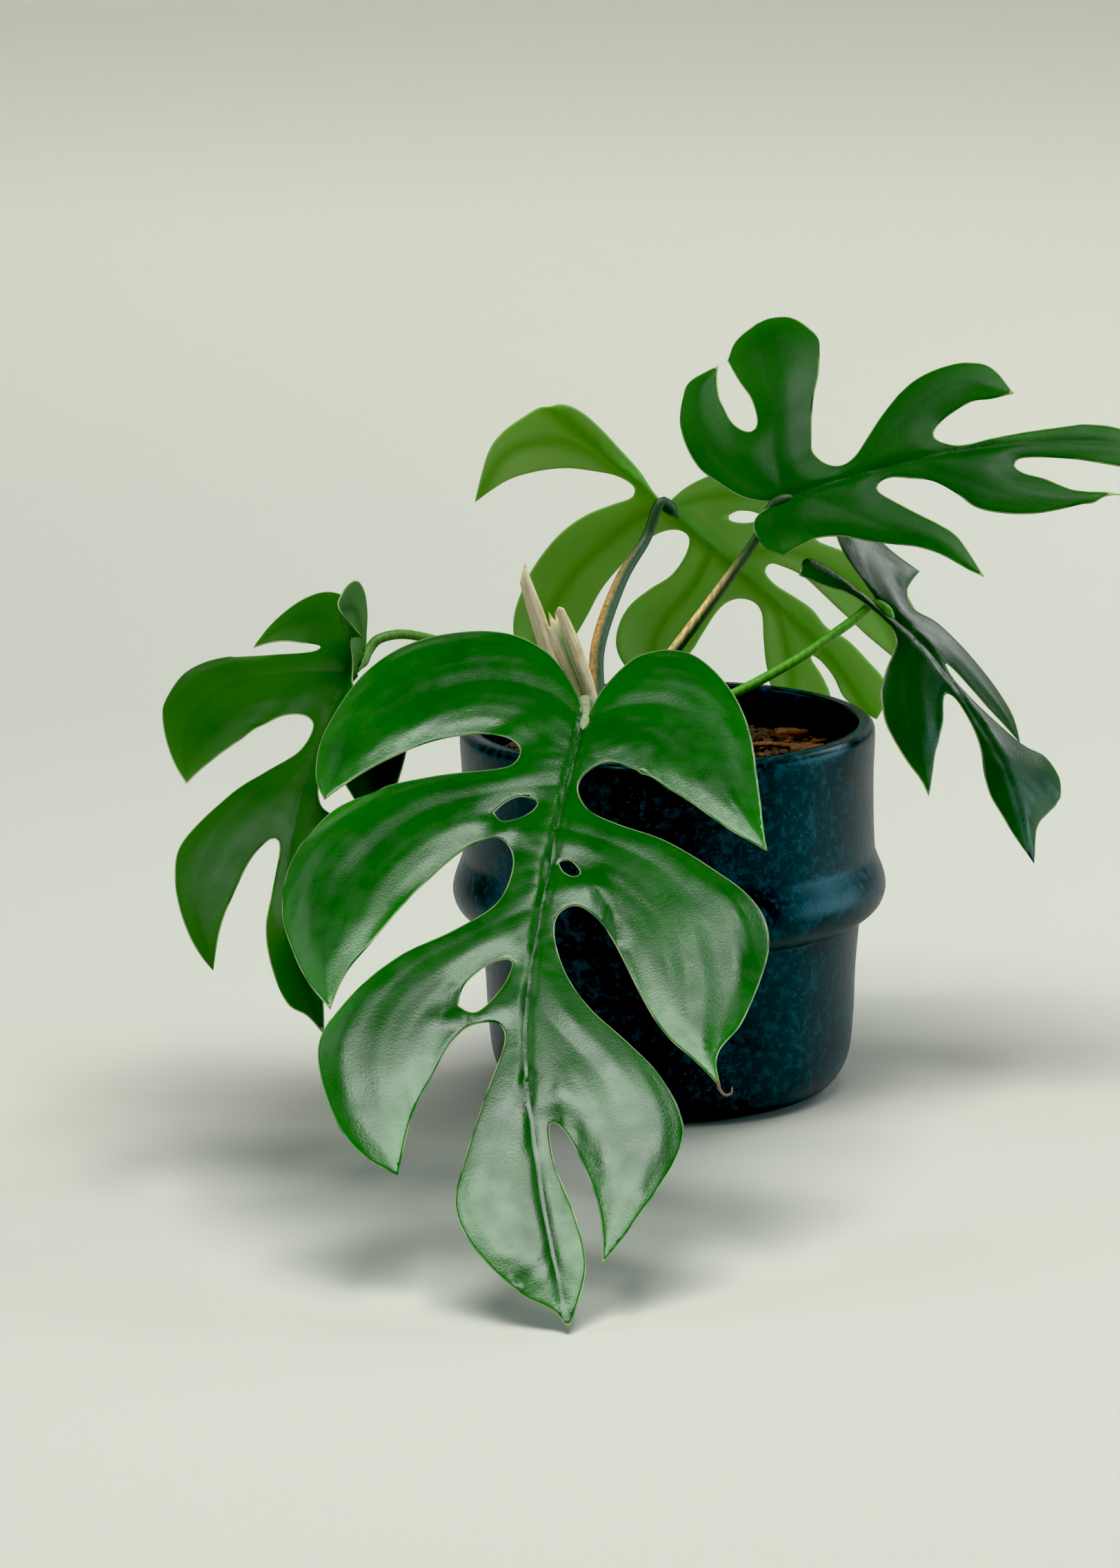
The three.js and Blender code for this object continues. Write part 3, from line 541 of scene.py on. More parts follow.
def tube_piece(name, points, radius_at, material, sides=18, spacing=1.2, section=round_section, extra=None):
    """A tube along a curve. radius_at gives its size along it, section its shape round it, and extra its
    attributes, from the shares along it and the outward direction of each point."""
    line = evenly(catmull(points, 24), spacing)
    n = len(line)
    share = np.linspace(0, 1, n)
    tangent = unit(np.gradient(line, axis=0))
    side = unit(np.cross(tangent[0], (0.3, 0.2, 1.0)))
    angle = turns(sides)
    vertices, facing = [], []
    for i in range(n):
        side = unit(side - tangent[i] * (side @ tangent[i]))
        other = np.cross(tangent[i], side)
        r = radius_at(share[i]) * section(angle, share[i])
        outward = side[None] * np.cos(angle)[:, None] + other[None] * np.sin(angle)[:, None]
        vertices.append(line[i] + outward * r[:, None])
        facing.append(outward)
    vertices += [line[:1] - tangent[:1] * 0.3, line[-1:] + tangent[-1:] * 0.6]
    attributes = extra(share, np.array(facing)) if extra else {}
    return mesh_object(name, np.vstack(vertices), ring_faces(n, sides), material, attributes)


# ---------------------------------------------------------------- materials

def shaded(colour, share):
    """The colour times one share, or times a share for each channel, and no brighter than 1."""
    return tuple(np.minimum(1, np.array(colour) * share))


class Nodes:
    """A material's node tree, with short helpers."""

    def __init__(self, name):
        self.material = bpy.data.materials.new(name)
        self.material.use_nodes = True
        self.tree = self.material.node_tree
        self.tree.nodes.clear()
        self.out = self.tree.nodes.new("ShaderNodeOutputMaterial")

    def add(self, kind, links=(), **settings):
        node = self.tree.nodes.new(kind)
        for key, value in settings.items():
            setattr(node, key, value)
        for socket, value in dict(links).items():
            target = node.inputs[socket]
            if isinstance(value, bpy.types.NodeSocket):
                self.tree.links.new(value, target)
            elif target.type == "RGBA" and len(value) == 3:
                target.default_value = (*value, 1)
            else:
                target.default_value = value
        return node

    def attribute(self, name, vector=False):
        return self.add("ShaderNodeAttribute", attribute_name=name).outputs["Vector" if vector else "Fac"]

    def noise(self, vector, scale, detail=3.0, roughness=0.5):
        links = {"Vector": vector, "Scale": scale, "Detail": detail, "Roughness": roughness}
        return self.add("ShaderNodeTexNoise", links).outputs["Fac"]

    def stretched(self, vector, scale):
        return self.add("ShaderNodeMapping", {"Vector": vector, "Scale": scale}).outputs[0]

    def ramp(self, value, low, high):
        return self.add("ShaderNodeMapRange", {0: value, 1: low, 2: high, 3: 0.0, 4: 1.0}).outputs[0]

    def math(self, operation, a, b=0.0):
        return self.add("ShaderNodeMath", {0: a, 1: b}, operation=operation).outputs[0]

    def times(self, a, b):
        return self.math("MULTIPLY", a, b)

    def plus(self, a, b):
        return self.math("ADD", a, b)

    def mix(self, share, a, b):
        return self.add("ShaderNodeMix", {0: share, 6: a, 7: b}, data_type="RGBA").outputs[2]

    def level(self, share, a, b):
        return self.add("ShaderNodeMix", {0: share, 2: a, 3: b}, data_type="FLOAT").outputs[0]

    def object_space(self):
        return self.add("ShaderNodeTexCoord").outputs["Object"]

    def surface(self, colour, rough, bump=None, shine=0.5, tint=(1, 1, 1)):
        """A Principled shader; bump holds the height, the strength and the distance of its relief."""
        links = {"Base Color": colour, "Roughness": rough, "Specular IOR Level": shine, "Specular Tint": tint}
        if bump:
            relief = dict(zip(("Height", "Strength", "Distance"), bump))
            links["Normal"] = self.add("ShaderNodeBump", relief).outputs[0]
        return self.add("ShaderNodeBsdfPrincipled", links).outputs[0]

    def finish(self, shader):
        self.tree.links.new(shader, self.out.inputs["Surface"])
        return self.material


UNDERSIDE = (0.1, 0.2, 0.06)
THROUGH = (0.1, 0.4, 0.02)
MARGIN = (0.55, 0.62, 0.3)


def leaf_material(name, dark, light, veins, rough, shine, glow, under=UNDERSIDE, through=THROUGH, tip=None):
    """Blade colour from the distances to the midrib, the side veins and the edge, with painted shade along
    the vein grooves.
    """
    m = Nodes(name)
    flat = m.attribute("flat", True)
    edge, lateral, beside_midrib = m.attribute("edge"), m.attribute("lateral"), m.attribute("midrib")
    reach, under_side = m.attribute("reach"), m.attribute("under")
    broad = m.ramp(m.noise(flat, 0.035, 2.0), 0.3, 0.7)
    fine = m.ramp(m.noise(flat, 0.5, 4.0, 0.6), 0.25, 0.75)

    towards_tip = m.times(m.ramp(reach, 0.45, 1.0), m.ramp(edge, 9.0, 1.0))
    lightness = m.plus(m.times(broad, 0.45), m.times(towards_tip, 0.75))
    lightness = m.plus(lightness, m.times(fine, 0.18))
    colour = m.mix(m.ramp(lightness, 0.1, 1.1), dark, light)
    # Painted shade: the midrib, the side veins and the faint minor veins are mixed towards the darker vein
    # colour, in place of the shade in their grooves.
    rib = m.math("MAXIMUM", m.ramp(beside_midrib, 1.3, 0.3), m.times(m.ramp(lateral, 0.9, 0.15), 0.6))
    stripes = m.math("COSINE", m.times(lateral, 2 * math.pi / RIPPLE_PITCH))
    minor = m.times(m.ramp(stripes, 0.9, 1.0), m.ramp(lateral, 1.5, 5.0))
    rib = m.math("MAXIMUM", rib, m.times(minor, 0.3))
    top_colour = m.mix(m.times(rib, 0.35), colour, veins)

    shade = m.math("MAXIMUM", m.ramp(beside_midrib, 5.0, 0.8), m.times(m.ramp(lateral, 3.6, 0.4), 0.75))
    under_colour = m.mix(m.times(broad, 0.6), under, shaded(under, (0.55, 0.85, 0.4)))
    under_colour = m.mix(shade, under_colour, shaded(under, (0.22, 0.5, 0.1)))
    colour = m.mix(under_side, top_colour, under_colour)
    rim = m.times(m.ramp(edge, 0.42, 0.2), m.ramp(m.noise(flat, 0.09, 1.0), 0.35, 0.55))
    colour = m.mix(m.times(rim, 0.65), colour, MARGIN)
    if tip is not None:
        end = m.ramp(m.plus(m.attribute("along"), m.times(fine, 0.02)), 0.965, 0.99)
        colour = m.mix(end, colour, tip)

    roughness = m.level(m.ramp(m.noise(flat, 0.11, 3.0), 0.3, 0.7), rough - 0.05, rough + 0.07)
    roughness = m.level(under_side, roughness, 0.6)
    height = m.plus(m.times(m.noise(flat, 1.3, 3.0, 0.6), 0.5), m.times(stripes, 0.12))
    body = m.surface(colour, roughness, (height, 0.3, 0.0004), shine)
    lit = m.add("ShaderNodeBsdfTranslucent", {"Color": through}).outputs[0]
    return m.finish(m.add("ShaderNodeMixShader", {0: glow, 1: body, 2: lit}).outputs[0])


def stem_material(name, green, brown, rough=0.5):
    """Streaked green, brown where the dry attribute says so."""
    m = Nodes(name)
    dry = m.attribute("dry")
    streak = m.ramp(m.noise(m.stretched(m.object_space(), (1, 1, 0.18)), 900, 3.0), 0.35, 0.65)
    fresh = m.mix(streak, shaded(green, 0.8), shaded(green, 1.25))
    colour = m.mix(dry, fresh, m.mix(streak, shaded(brown, 0.6), shaded(brown, 1.3)))
    return m.finish(m.surface(colour, m.level(dry, rough, 0.8), (streak, 0.2, 0.0003)))


def glaze_material():
    """Near-black blue glaze with lighter specks, and bare clay on the foot ring."""
    m = Nodes("glaze")
    where, bare = m.object_space(), m.attribute("bare")
    cloud = m.ramp(m.noise(where, 45, 3.0, 0.6), 0.38, 0.66)
    speck = m.ramp(m.noise(where, 330, 2.0, 0.5), 0.5, 0.68)
    fleck = m.ramp(m.noise(where, 900, 1.0, 0.5), 0.58, 0.72)
    colour = m.mix(cloud, (0.0006, 0.0045, 0.005), (0.0015, 0.015, 0.02))
    colour = m.mix(m.times(speck, 0.7), colour, (0.004, 0.055, 0.08))
    colour = m.mix(m.times(fleck, m.times(cloud, 0.5)), colour, (0.03, 0.12, 0.16))
    colour = m.mix(bare, colour, (0.24, 0.17, 0.12))
    rough = m.level(bare, m.level(speck, 0.34, 0.44), 0.9)
    return m.finish(m.surface(colour, rough, (speck, 0.12, 0.0003), 0.32, tint=(0.4, 0.88, 1.0)))


def ground_material(name, dark, light, warm):
    """Grainy soil or bark, warmer where the tone attribute is high."""
    m = Nodes(name)
    grain = m.ramp(m.noise(m.object_space(), 700, 4.0, 0.7), 0.3, 0.7)
    colour = m.mix(m.attribute("tone"), m.mix(grain, dark, light), m.mix(grain, shaded(warm, 0.5), warm))
    return m.finish(m.surface(colour, 0.95, (grain, 0.5, 0.0008), 0.2))


def papery_material():
    """Dry fibres along the sheath, green inside where the greenish attribute says so, with stains."""
    m = Nodes("dried_sheath")
    flat, edge = m.attribute("flat", True), m.attribute("edge")
    fibre = m.ramp(m.noise(m.stretched(flat, (1.9, 0.1, 1)), 1.2, 3.0), 0.3, 0.7)
    colour = m.mix(fibre, (0.72, 0.56, 0.3), (0.92, 0.82, 0.6))
    inner = m.times(m.ramp(edge, 0.2, 0.7), m.ramp(m.attribute("along"), 0.98, 0.8))
    colour = m.mix(m.times(inner, m.attribute("greenish")), colour, (0.24, 0.4, 0.14))
    stain = m.ramp(m.noise(flat, 0.16, 3.0), 0.55, 0.72)
    colour = m.mix(m.times(stain, 0.4), colour, (0.6, 0.42, 0.17))
    colour = m.mix(m.ramp(edge, 0.25, 0.05), colour, (0.62, 0.46, 0.22))
    return m.finish(m.surface(colour, 0.75, (fibre, 0.4, 0.0004), 0.3))


def plain_material(name, colour, rough):
    m = Nodes(name)
    grain = m.noise(m.object_space(), 1800, 3.0)
    return m.finish(m.surface(m.mix(grain, colour, shaded(colour, 0.5)), rough))


def backdrop_material():
    """Pale paper, painted darker round the pot than far behind it: painted shade near the plant and painted
    light towards the back.
    """
    m = Nodes("backdrop")
    depth = m.add("ShaderNodeSeparateXYZ", {0: m.object_space()}).outputs["Y"]
    # Painted light and shade: the paper runs from darker near the pot to lighter at the back, in place of how
    # the lamps fall on it.
    colour = m.mix(m.ramp(depth, 0.1, 1.9), (0.57, 0.56, 0.49), (0.82, 0.81, 0.705))
    return m.finish(m.surface(colour, 0.9))


# ---------------------------------------------------------------- leaves

GREEN = leaf_material(
    "leaf_green", (0.0015, 0.075, 0.001), (0.012, 0.17, 0.003), (0.002, 0.05, 0.002),
    rough=0.25, shine=0.5, glow=0.05)
GREEN_MATTE = leaf_material(
    "leaf_green_matte", (0.008, 0.075, 0.002), (0.026, 0.125, 0.008), (0.006, 0.05, 0.002),
    rough=0.42, shine=0.12, glow=0.05)
GREEN_DEEP = leaf_material(
    "leaf_green_deep", (0.002, 0.06, 0.001), (0.014, 0.115, 0.005), (0.002, 0.04, 0.001),
    rough=0.4, shine=0.15, glow=0.05)
GREEN_TIPPED = leaf_material(
    "leaf_green_tipped", (0.002, 0.035, 0.001), (0.01, 0.07, 0.005), (0.002, 0.03, 0.001),
    rough=0.3, shine=0.32, glow=0.03, tip=(0.012, 0.006, 0.003))
PALE = leaf_material(
    "leaf_pale", (0.03, 0.16, 0.008), (0.06, 0.22, 0.015), (0.03, 0.12, 0.01),
    rough=0.5, shine=0.3, glow=0.4, under=(0.4, 0.6, 0.19), through=(0.5, 0.88, 0.17))
DRIED_TIP = plain_material("dried_tip", (0.36, 0.22, 0.1), 0.8)

# Where the hook starts on the flat front leaf, and its points from there.
HOOK_AT = (55, 156)
HOOK_STEPS = [(0, 0, 0.4), (0.6, -0.4, -2.2), (2.2, -0.8, -3.9), (3.9, -0.8, -3.4), (4.2, -0.6, -2.0)]


def dried_hook():
    """The tip of the second right lobe ends in a dry curl."""
    u, v = (np.array([float(value)]) for value in HOOK_AT)
    points = Blade(FRONT).middle(u, v) + np.array(HOOK_STEPS)
    return tube_piece("leaf_front_hook", points, lambda t: 0.55 - 0.3 * t, DRIED_TIP, sides=8, spacing=0.4)


place(blade_piece("leaf_front_blade", FRONT, GREEN, 1, grid=2.2, edge_spacing=1.3), "leaf_front")
place(dried_hook(), "leaf_front")
place(blade_piece("leaf_left_blade", LEFT, GREEN_MATTE, 2), "leaf_left")
place(blade_piece("leaf_back_blade", BACK, PALE, 3), "leaf_back")
place(blade_piece("leaf_upper_blade", UPPER, GREEN_DEEP, 4), "leaf_upper")
place(blade_piece("leaf_right_blade", RIGHT, GREEN_TIPPED, 5), "leaf_right")


# ---------------------------------------------------------------- petioles and stem

PETIOLE_RADIUS = 1.9
SEAT = PETIOLE_RADIUS + SEAT_GAP
STALK_RADIUS = 1.65
DRY_SIDE = unit(np.array((-1.0, -0.1, 0.2)))


def petiole_route(points, spec):
    """The given points, then two under the base of the blade that the stalk carries."""
    blade = Blade(spec)
    ends = np.array([-3.0, 6.0])
    zero = np.zeros(2)
    under = blade.middle(zero, ends) - blade.normal(zero, ends) * SEAT
    return np.vstack([over_soil(points), under])


def petiole_piece(name, spec, material, points, base=2.6, body=STALK_RADIUS, dry=(0, 0)):
    """A stalk that swells at both ends. Base and body are its radii at the stem and low down, and dry holds
    the shares of its length up to which one side of it is fully dry and dry at all."""
    def radius(t):
        swollen = 0.45 * bell(t - 0.97, 0.05)
        flare = (base - body) * bell(t, 0.16)
        width = STALK_RADIUS + (body - STALK_RADIUS) * (1 - smoothstep(0.35, 0.85, t)) + flare + swollen
        return width * (1 - 0.8 * smoothstep(0.95, 1.0, t))

    def section(angle, t):
        return 1 - 0.16 * bell(angle - math.pi / 2, 0.5) + 0.05 * np.cos(2 * angle)

    def dryness(share, facing):
        full, gone = dry
        keep = 1 - smoothstep(full, max(gone, 1e-3), share)
        side = smoothstep(-0.05, 0.5, facing @ DRY_SIDE)
        return {"dry": np.r_[(keep[:, None] * side).ravel() * (gone > 0), 0, 0]}

    return tube_piece(name, petiole_route(points, spec), radius, material, section=section, extra=dryness)


FRESH_BROWN = (0.3, 0.19, 0.09)
PETIOLE_GREEN = stem_material("petiole_green", (0.07, 0.2, 0.02), FRESH_BROWN)
PETIOLE_BRIGHT = stem_material("petiole_bright", (0.085, 0.33, 0.012), FRESH_BROWN)
PETIOLE_PALE = stem_material("petiole_pale", (0.26, 0.32, 0.17), (0.5, 0.4, 0.22))
# A darker green stalk than the others, brown on its dry side.
PETIOLE_DARK = stem_material("petiole_dark", (0.035, 0.085, 0.03), (0.42, 0.24, 0.06))
PETIOLE_CREAM = stem_material("petiole_cream", (0.02, 0.06, 0.01), (0.72, 0.52, 0.22))
STEM_MATERIAL = stem_material("stem_brown", (0.12, 0.16, 0.05), (0.25, 0.17, 0.09), 0.7)

PETIOLES = {
    "front": (FRONT, PETIOLE_PALE, [(-21, -1, 4), (-22, -16, 11), (-24, -42, 26), (-25, -66, 33)], 3.0),
    "left": (LEFT, PETIOLE_GREEN,
             [(-22, 0, 7), (-38, -3, 20), (-60, -9, 36), (-78, -15, 43.5), (-88, -20, 44)]),
    "back": (BACK, PETIOLE_DARK, [(-20.5, 2, 10), (-22, 8, 22), (-21, 16, 35), (-14, 33, 51), (-6, 45, 62)],
             2.9, 2.3, (0.45, 0.8)),
    "upper": (UPPER, PETIOLE_CREAM, [(-18, 2, 7), (-8, 2, 21), (4, 3, 36), (18, 6, 54), (29, 8, 69)],
              2.8, 2.0, (0.5, 0.75)),
    "right": (RIGHT, PETIOLE_BRIGHT,
              [(-18, -2, 3), (-2, -5, 13), (22, -6, 22.5), (42, -4, 33), (58, -1, 43.5)]),
}
for side, plan in PETIOLES.items():
    place(petiole_piece(f"petiole_{side}_stalk", *plan), f"petiole_{side}")


STEM_AT = np.array((-20.0, 0.0))
STEM_RADIUS = 6.5
STEM_FOOT = SOIL_LEVEL - 1.5
STEM_TOP = SOIL_LEVEL + 17.2
SHOULDER = 0.72


def stem_piece():
    """The short stem: ringed with leaf scars and uneven all round."""
    rows, sides = 46, 56
    height = np.linspace(STEM_FOOT, STEM_TOP, rows)
    share = (height - STEM_FOOT) / (STEM_TOP - STEM_FOOT)
    crown = np.sqrt(np.clip(1 - ((share - SHOULDER) / 0.285) ** 2, 0.05, 1))
    radius = (STEM_RADIUS + 0.8 * bell(share, 0.2)) * np.where(share > SHOULDER, crown, 1)
    vertices, dry = [], []
    for z, r, t in zip(height, radius, share):
        for a in turns(sides):
            ring = 0.35 * math.sin(t * 26 + 0.8 * math.sin(a)) * smoothstep(0, 0.2, 1 - t)
            lump = 0.55 * noise.noise(Vector((math.cos(a) * 1.6, math.sin(a) * 1.6, t * 5)))
            out = r + ring + lump - 0.4
            vertices.append((STEM_AT[0] + out * math.cos(a), STEM_AT[1] + out * math.sin(a), z))
            dry.append(float(np.clip(1.1 - 1.1 * t + 0.5 * lump + 0.4 * ring, 0, 1)))
    vertices += [(*STEM_AT, STEM_FOOT), (*STEM_AT, STEM_TOP)]
    return mesh_object("stem_crown", vertices, ring_faces(rows, sides), STEM_MATERIAL, {"dry": dry + [1, 0]})


place(stem_piece(), "stem")


# ---------------------------------------------------------------- dried sheaths

TALL_SHEATH = {
    "midrib": over_soil([(-27.5, 4, 11), (-35, 4, 28), (-39.7, 3, 44), (-44.5, 2, 60)]),
    "across": [(1, -.3, .4), (1, .2, .4)], "fold": (20, 20), "curl": (20, 20),
    "outline": [
        [(-2.6, 15), (-2.7, 30), (-2.4, 42), (-1.8, 49)], [(0.2, 52.5), (1.6, 54.5)],
        [(2, 46), (2.5, 38), (2.6, 25), (2, 12), (1.5, 0)], [(0, -1), (-2, 0)],
    ],
}
TORN_SHEATH = {
    "midrib": over_soil([(-24.4, -6, 10), (-27, -7, 24), (-31.6, -8, 36), (-36, -7, 47)]),
    "across": [(1, 0, .3), (1, .2, .3)], "fold": (15, 15), "curl": (30, 30),
    "outline": [
        [(-2.6, 12), (-3, 25), (-2.7, 34), (-2.2, 39)], [(-1, 36.5)], [(0.2, 41.2)], [(1, 37.6)],
        [(2.2, 40.2)], [(3.4, 36)], [(3.6, 30), (3, 20), (2, 10), (1.5, 0)], [(0, -1), (-2, 0)],
    ],
}
SHORT_SHEATH = {
    "midrib": over_soil([(-21, -7.5, 10), (-24, -9, 24), (-28, -10, 36), (-31.6, -10, 47)]),
    "across": [(1, .2, .3), (1, 0, .3)], "fold": (25, 25), "curl": (25, 25),
    "outline": [
        [(-2, 12), (-2.3, 25), (-2, 35), (-1.5, 42)], [(-0.2, 43.2), (1.1, 42)],
        [(2.2, 33), (2.4, 24), (1.9, 12), (1, 0)], [(0, -1), (-1.5, 0)],
    ],
}
PAPERY = papery_material()


def sheath_piece(name, spec, seed, green_between):
    """A papery strip, green inside between two places across it."""
    piece = blade_piece(name, spec, PAPERY, seed, 0.9, 0.6, relief=0.35, thickness=0.3, rib=0.3)
    across = np.array([at.vector[0] for at in piece.data.attributes["flat"].data])
    green = smoothstep(*green_between, across).astype(np.float32)
    piece.data.attributes.new("greenish", "FLOAT", "POINT").data.foreach_set("value", green)
    return piece


place(sheath_piece("sheath_tall_strip", TALL_SHEATH, 11, (6, 9)), "sheath_tall")
place(sheath_piece("sheath_torn_strip", TORN_SHEATH, 12, (-0.8, 0.2)), "sheath_torn")
place(sheath_piece("sheath_short_strip", SHORT_SHEATH, 13, (-0.6, -1.6)), "sheath_short")


# ---------------------------------------------------------------- pot

CREASE_RADIUS, BODY_RADIUS, FOOT_RADIUS = RIM_RADIUS - 5, RIM_RADIUS - 7, RIM_RADIUS - 20
CREASE_HEIGHT, RIDGE_HEIGHT = POT_HEIGHT * .472, POT_HEIGHT * .553
COLLAR_HEIGHT, HEEL_HEIGHT = POT_HEIGHT * .67, POT_HEIGHT * .205
POT_FLOOR = 6
FOOT_HOLLOW = 0.8
POT_SIDES = 200
BARE_ROWS = 12


def inner_profile(gap):
    """The inside of the pot from the collar down to its floor, or what fits in it with that gap."""
    narrow = CREASE_RADIUS - WALL - gap
    return [
        (RIM_RADIUS - WALL - gap, COLLAR_HEIGHT + 6), (narrow + 1, RIDGE_HEIGHT),
        (narrow - 1.5, CREASE_HEIGHT), (BODY_RADIUS - WALL - gap, HEEL_HEIGHT),
        (FOOT_RADIUS + 4 - gap, POT_FLOOR + 5 + gap), (FOOT_RADIUS - 4 - gap, POT_FLOOR + gap),
    ]


def pot_piece():
    """One turned shell: from the foot ring up the outside, over the rim and down to the floor inside."""
    foot = [
        (FOOT_RADIUS, 0), (FOOT_RADIUS + 5, 2), (FOOT_RADIUS + 9, 6.5), (BODY_RADIUS - 1.6, 13),
        (BODY_RADIUS - .4, HEEL_HEIGHT), (BODY_RADIUS + .3, CREASE_HEIGHT * .7),
        (CREASE_RADIUS - .5, CREASE_HEIGHT - 4), (CREASE_RADIUS, CREASE_HEIGHT),
    ]
    upper = [
        (CREASE_RADIUS, CREASE_HEIGHT), (RIDGE_RADIUS - 4.6, CREASE_HEIGHT + 1.8),
        (RIDGE_RADIUS - 1.4, CREASE_HEIGHT + 5), (RIDGE_RADIUS, RIDGE_HEIGHT),
        (RIDGE_RADIUS - .8, RIDGE_HEIGHT + 4.6), (RIM_RADIUS + .4, RIDGE_HEIGHT + 9.5),
        (RIM_RADIUS - .4, COLLAR_HEIGHT), (RIM_RADIUS - .6, (COLLAR_HEIGHT + POT_HEIGHT) / 2),
        (RIM_RADIUS, POT_HEIGHT - 5), (RIM_RADIUS - .3, POT_HEIGHT - 1.6),
        (RIM_RADIUS - 1.5, POT_HEIGHT - .3), (RIM_RADIUS - WALL / 2, POT_HEIGHT),
        (RIM_RADIUS - WALL + 1, POT_HEIGHT - .6), (RIM_RADIUS - WALL, POT_HEIGHT - 2.6), *inner_profile(0),
    ]
    turned = np.vstack([evenly(catmull(foot, 16), 1.2)[:-1], evenly(catmull(upper, 16), 1.2)])
    profile = np.vstack([(FOOT_RADIUS - 4, FOOT_HOLLOW), (FOOT_RADIUS - 3, 0), turned])
    angle = turns(POT_SIDES)
    rings = [np.stack([r * np.cos(angle), r * np.sin(angle), np.full(POT_SIDES, z)], 1) for r, z in profile]
    vertices = np.vstack([*rings, (0, 0, FOOT_HOLLOW), (0, 0, POT_FLOOR)])
    bare = np.repeat([float(i < BARE_ROWS and z < 0.9) for i, (r, z) in enumerate(profile)], POT_SIDES)
    faces = ring_faces(len(profile), POT_SIDES)
    return mesh_object("pot_glazed", vertices, faces, glaze_material(), {"bare": np.r_[bare, 1, 0]})


place(pot_piece(), "pot")


# ---------------------------------------------------------------- soil, bark chips and surface roots

SOIL_RADIUS = RIM_RADIUS - WALL - SEAT_GAP
SOIL_MATERIAL = ground_material("soil", (0.018, 0.016, 0.01), (0.075, 0.066, 0.042), (0.34, 0.17, 0.07))
BARK_MATERIAL = ground_material("bark", (0.022, 0.013, 0.008), (0.095, 0.048, 0.022), (0.4, 0.18, 0.07))


def soil_height(x, y):
    broad, crumb, fine = uneven(x, y, 26, 3.1), uneven(x, y, 5, 7.7), uneven(x, y, 1.9, 1.2)
    return SOIL_LEVEL - 1.2 + 1.1 * broad + 0.9 * crumb + 0.5 * fine


def soil_piece():
    """The plug of soil: rings of an uneven top, then rings down the inside of the pot, and its underside."""
    rings, segments = 52, 180
    vertices = [(0, 0, soil_height(0, 0))]
    for i in range(1, rings + 1):
        r = SOIL_RADIUS * i / rings
        level = [(r * math.cos(a), r * math.sin(a)) for a in turns(segments)]
        vertices += [(x, y, soil_height(x, y)) for x, y in level]
    sides = inner_profile(SEAT_GAP)
    for r, z in sides:
        vertices += [(r * math.cos(a), r * math.sin(a), z) for a in turns(segments)]
    vertices.append((0, 0, POT_FLOOR + SEAT_GAP))
    after = [(k + 1) % segments for k in range(segments)]
    last = 1 + (rings + len(sides) - 1) * segments
    faces = [(0, 1 + k, 1 + after[k]) for k in range(segments)]
    for a in range(1, last, segments):
        b = a + segments
        faces += [(a + k, b + k, b + after[k], a + after[k]) for k in range(segments)]
    faces += [(last + after[k], last + k, len(vertices) - 1) for k in range(segments)]
    tone = [float(np.clip(1.5 * uneven(x, y, 3, 9) - 0.55, 0, 1)) for x, y, z in vertices]
    return mesh_object("soil_bed", vertices, faces, SOIL_MATERIAL, {"tone": tone})


CORNERS = [(1, 0, 0), (-1, 0, 0), (0, 1, 0), (0, -1, 0), (0, 0, 1), (0, 0, -1)]
FACES = [(0, 2, 4), (2, 1, 4), (1, 3, 4), (3, 0, 4), (2, 0, 5), (1, 2, 5), (3, 1, 5), (0, 3, 5)]


def ball():
    """An octahedron with each face cut into four, its points on a sphere."""
    points, faces, halfway = [np.array(c, float) for c in CORNERS], [], {}
    for a, b, c in FACES:
        m = []
        for i, j in ((a, b), (b, c), (c, a)):
            key = (min(i, j), max(i, j))
            if key not in halfway:
                halfway[key] = len(points)
                points.append(unit(points[i] + points[j]))
            m.append(halfway[key])
        faces += [(a, m[0], m[2]), (m[0], b, m[1]), (m[2], m[1], c), tuple(m)]
    return np.array(points), faces


def lumps(name, count, size_range, flatness, tone_range, material, seed, rise=0.0):
    """Many small uneven lumps of soil or bark, turned and sized by a seeded generator, in one mesh."""
    random = np.random.default_rng(seed)
    points, small = ball()
    vertices, faces, tone = [], [], []
    for _ in range(count):
        r = SOIL_RADIUS * math.sqrt(random.uniform(0.0, 0.97))
        a = random.uniform(0, 2 * math.pi)
        x, y = r * math.cos(a), r * math.sin(a)
        size = random.uniform(*size_range)
        stretch = np.array((random.uniform(0.8, 2.2), random.uniform(0.7, 1.1), flatness)) * size / 2
        turn = Matrix.Rotation(random.uniform(0, 2 * math.pi), 3, "Z")
        turn = turn @ Matrix.Rotation(random.uniform(-.4, .4), 3, "X")
        lump = points * (1 + random.uniform(-0.28, 0.28, (len(points), 1))) * stretch
        if np.hypot(x, y) + size * 1.1 > SOIL_RADIUS:
            continue
        z = soil_height(x, y) + rise + size * 0.12
        faces += [tuple(i + len(vertices) for i in f) for f in small]
        tone += [random.uniform(*tone_range)] * len(points)
        vertices += [tuple(p) for p in lump @ np.array(turn).T + (x, y, z)]
    return mesh_object(name, vertices, faces, material, {"tone": tone}, smooth=False)


place(soil_piece(), "soil")
crumbs = lumps("soil_crumbs", 2600, (0.8, 3.2), 0.7, (0, 0.35), SOIL_MATERIAL, 21)
place(crumbs, "soil")
bark_bits = lumps("soil_bark_bits", 420, (1.0, 3.4), 0.5, (0.2, 1.0), BARK_MATERIAL, 22, 0.2)
place(bark_bits, "soil")

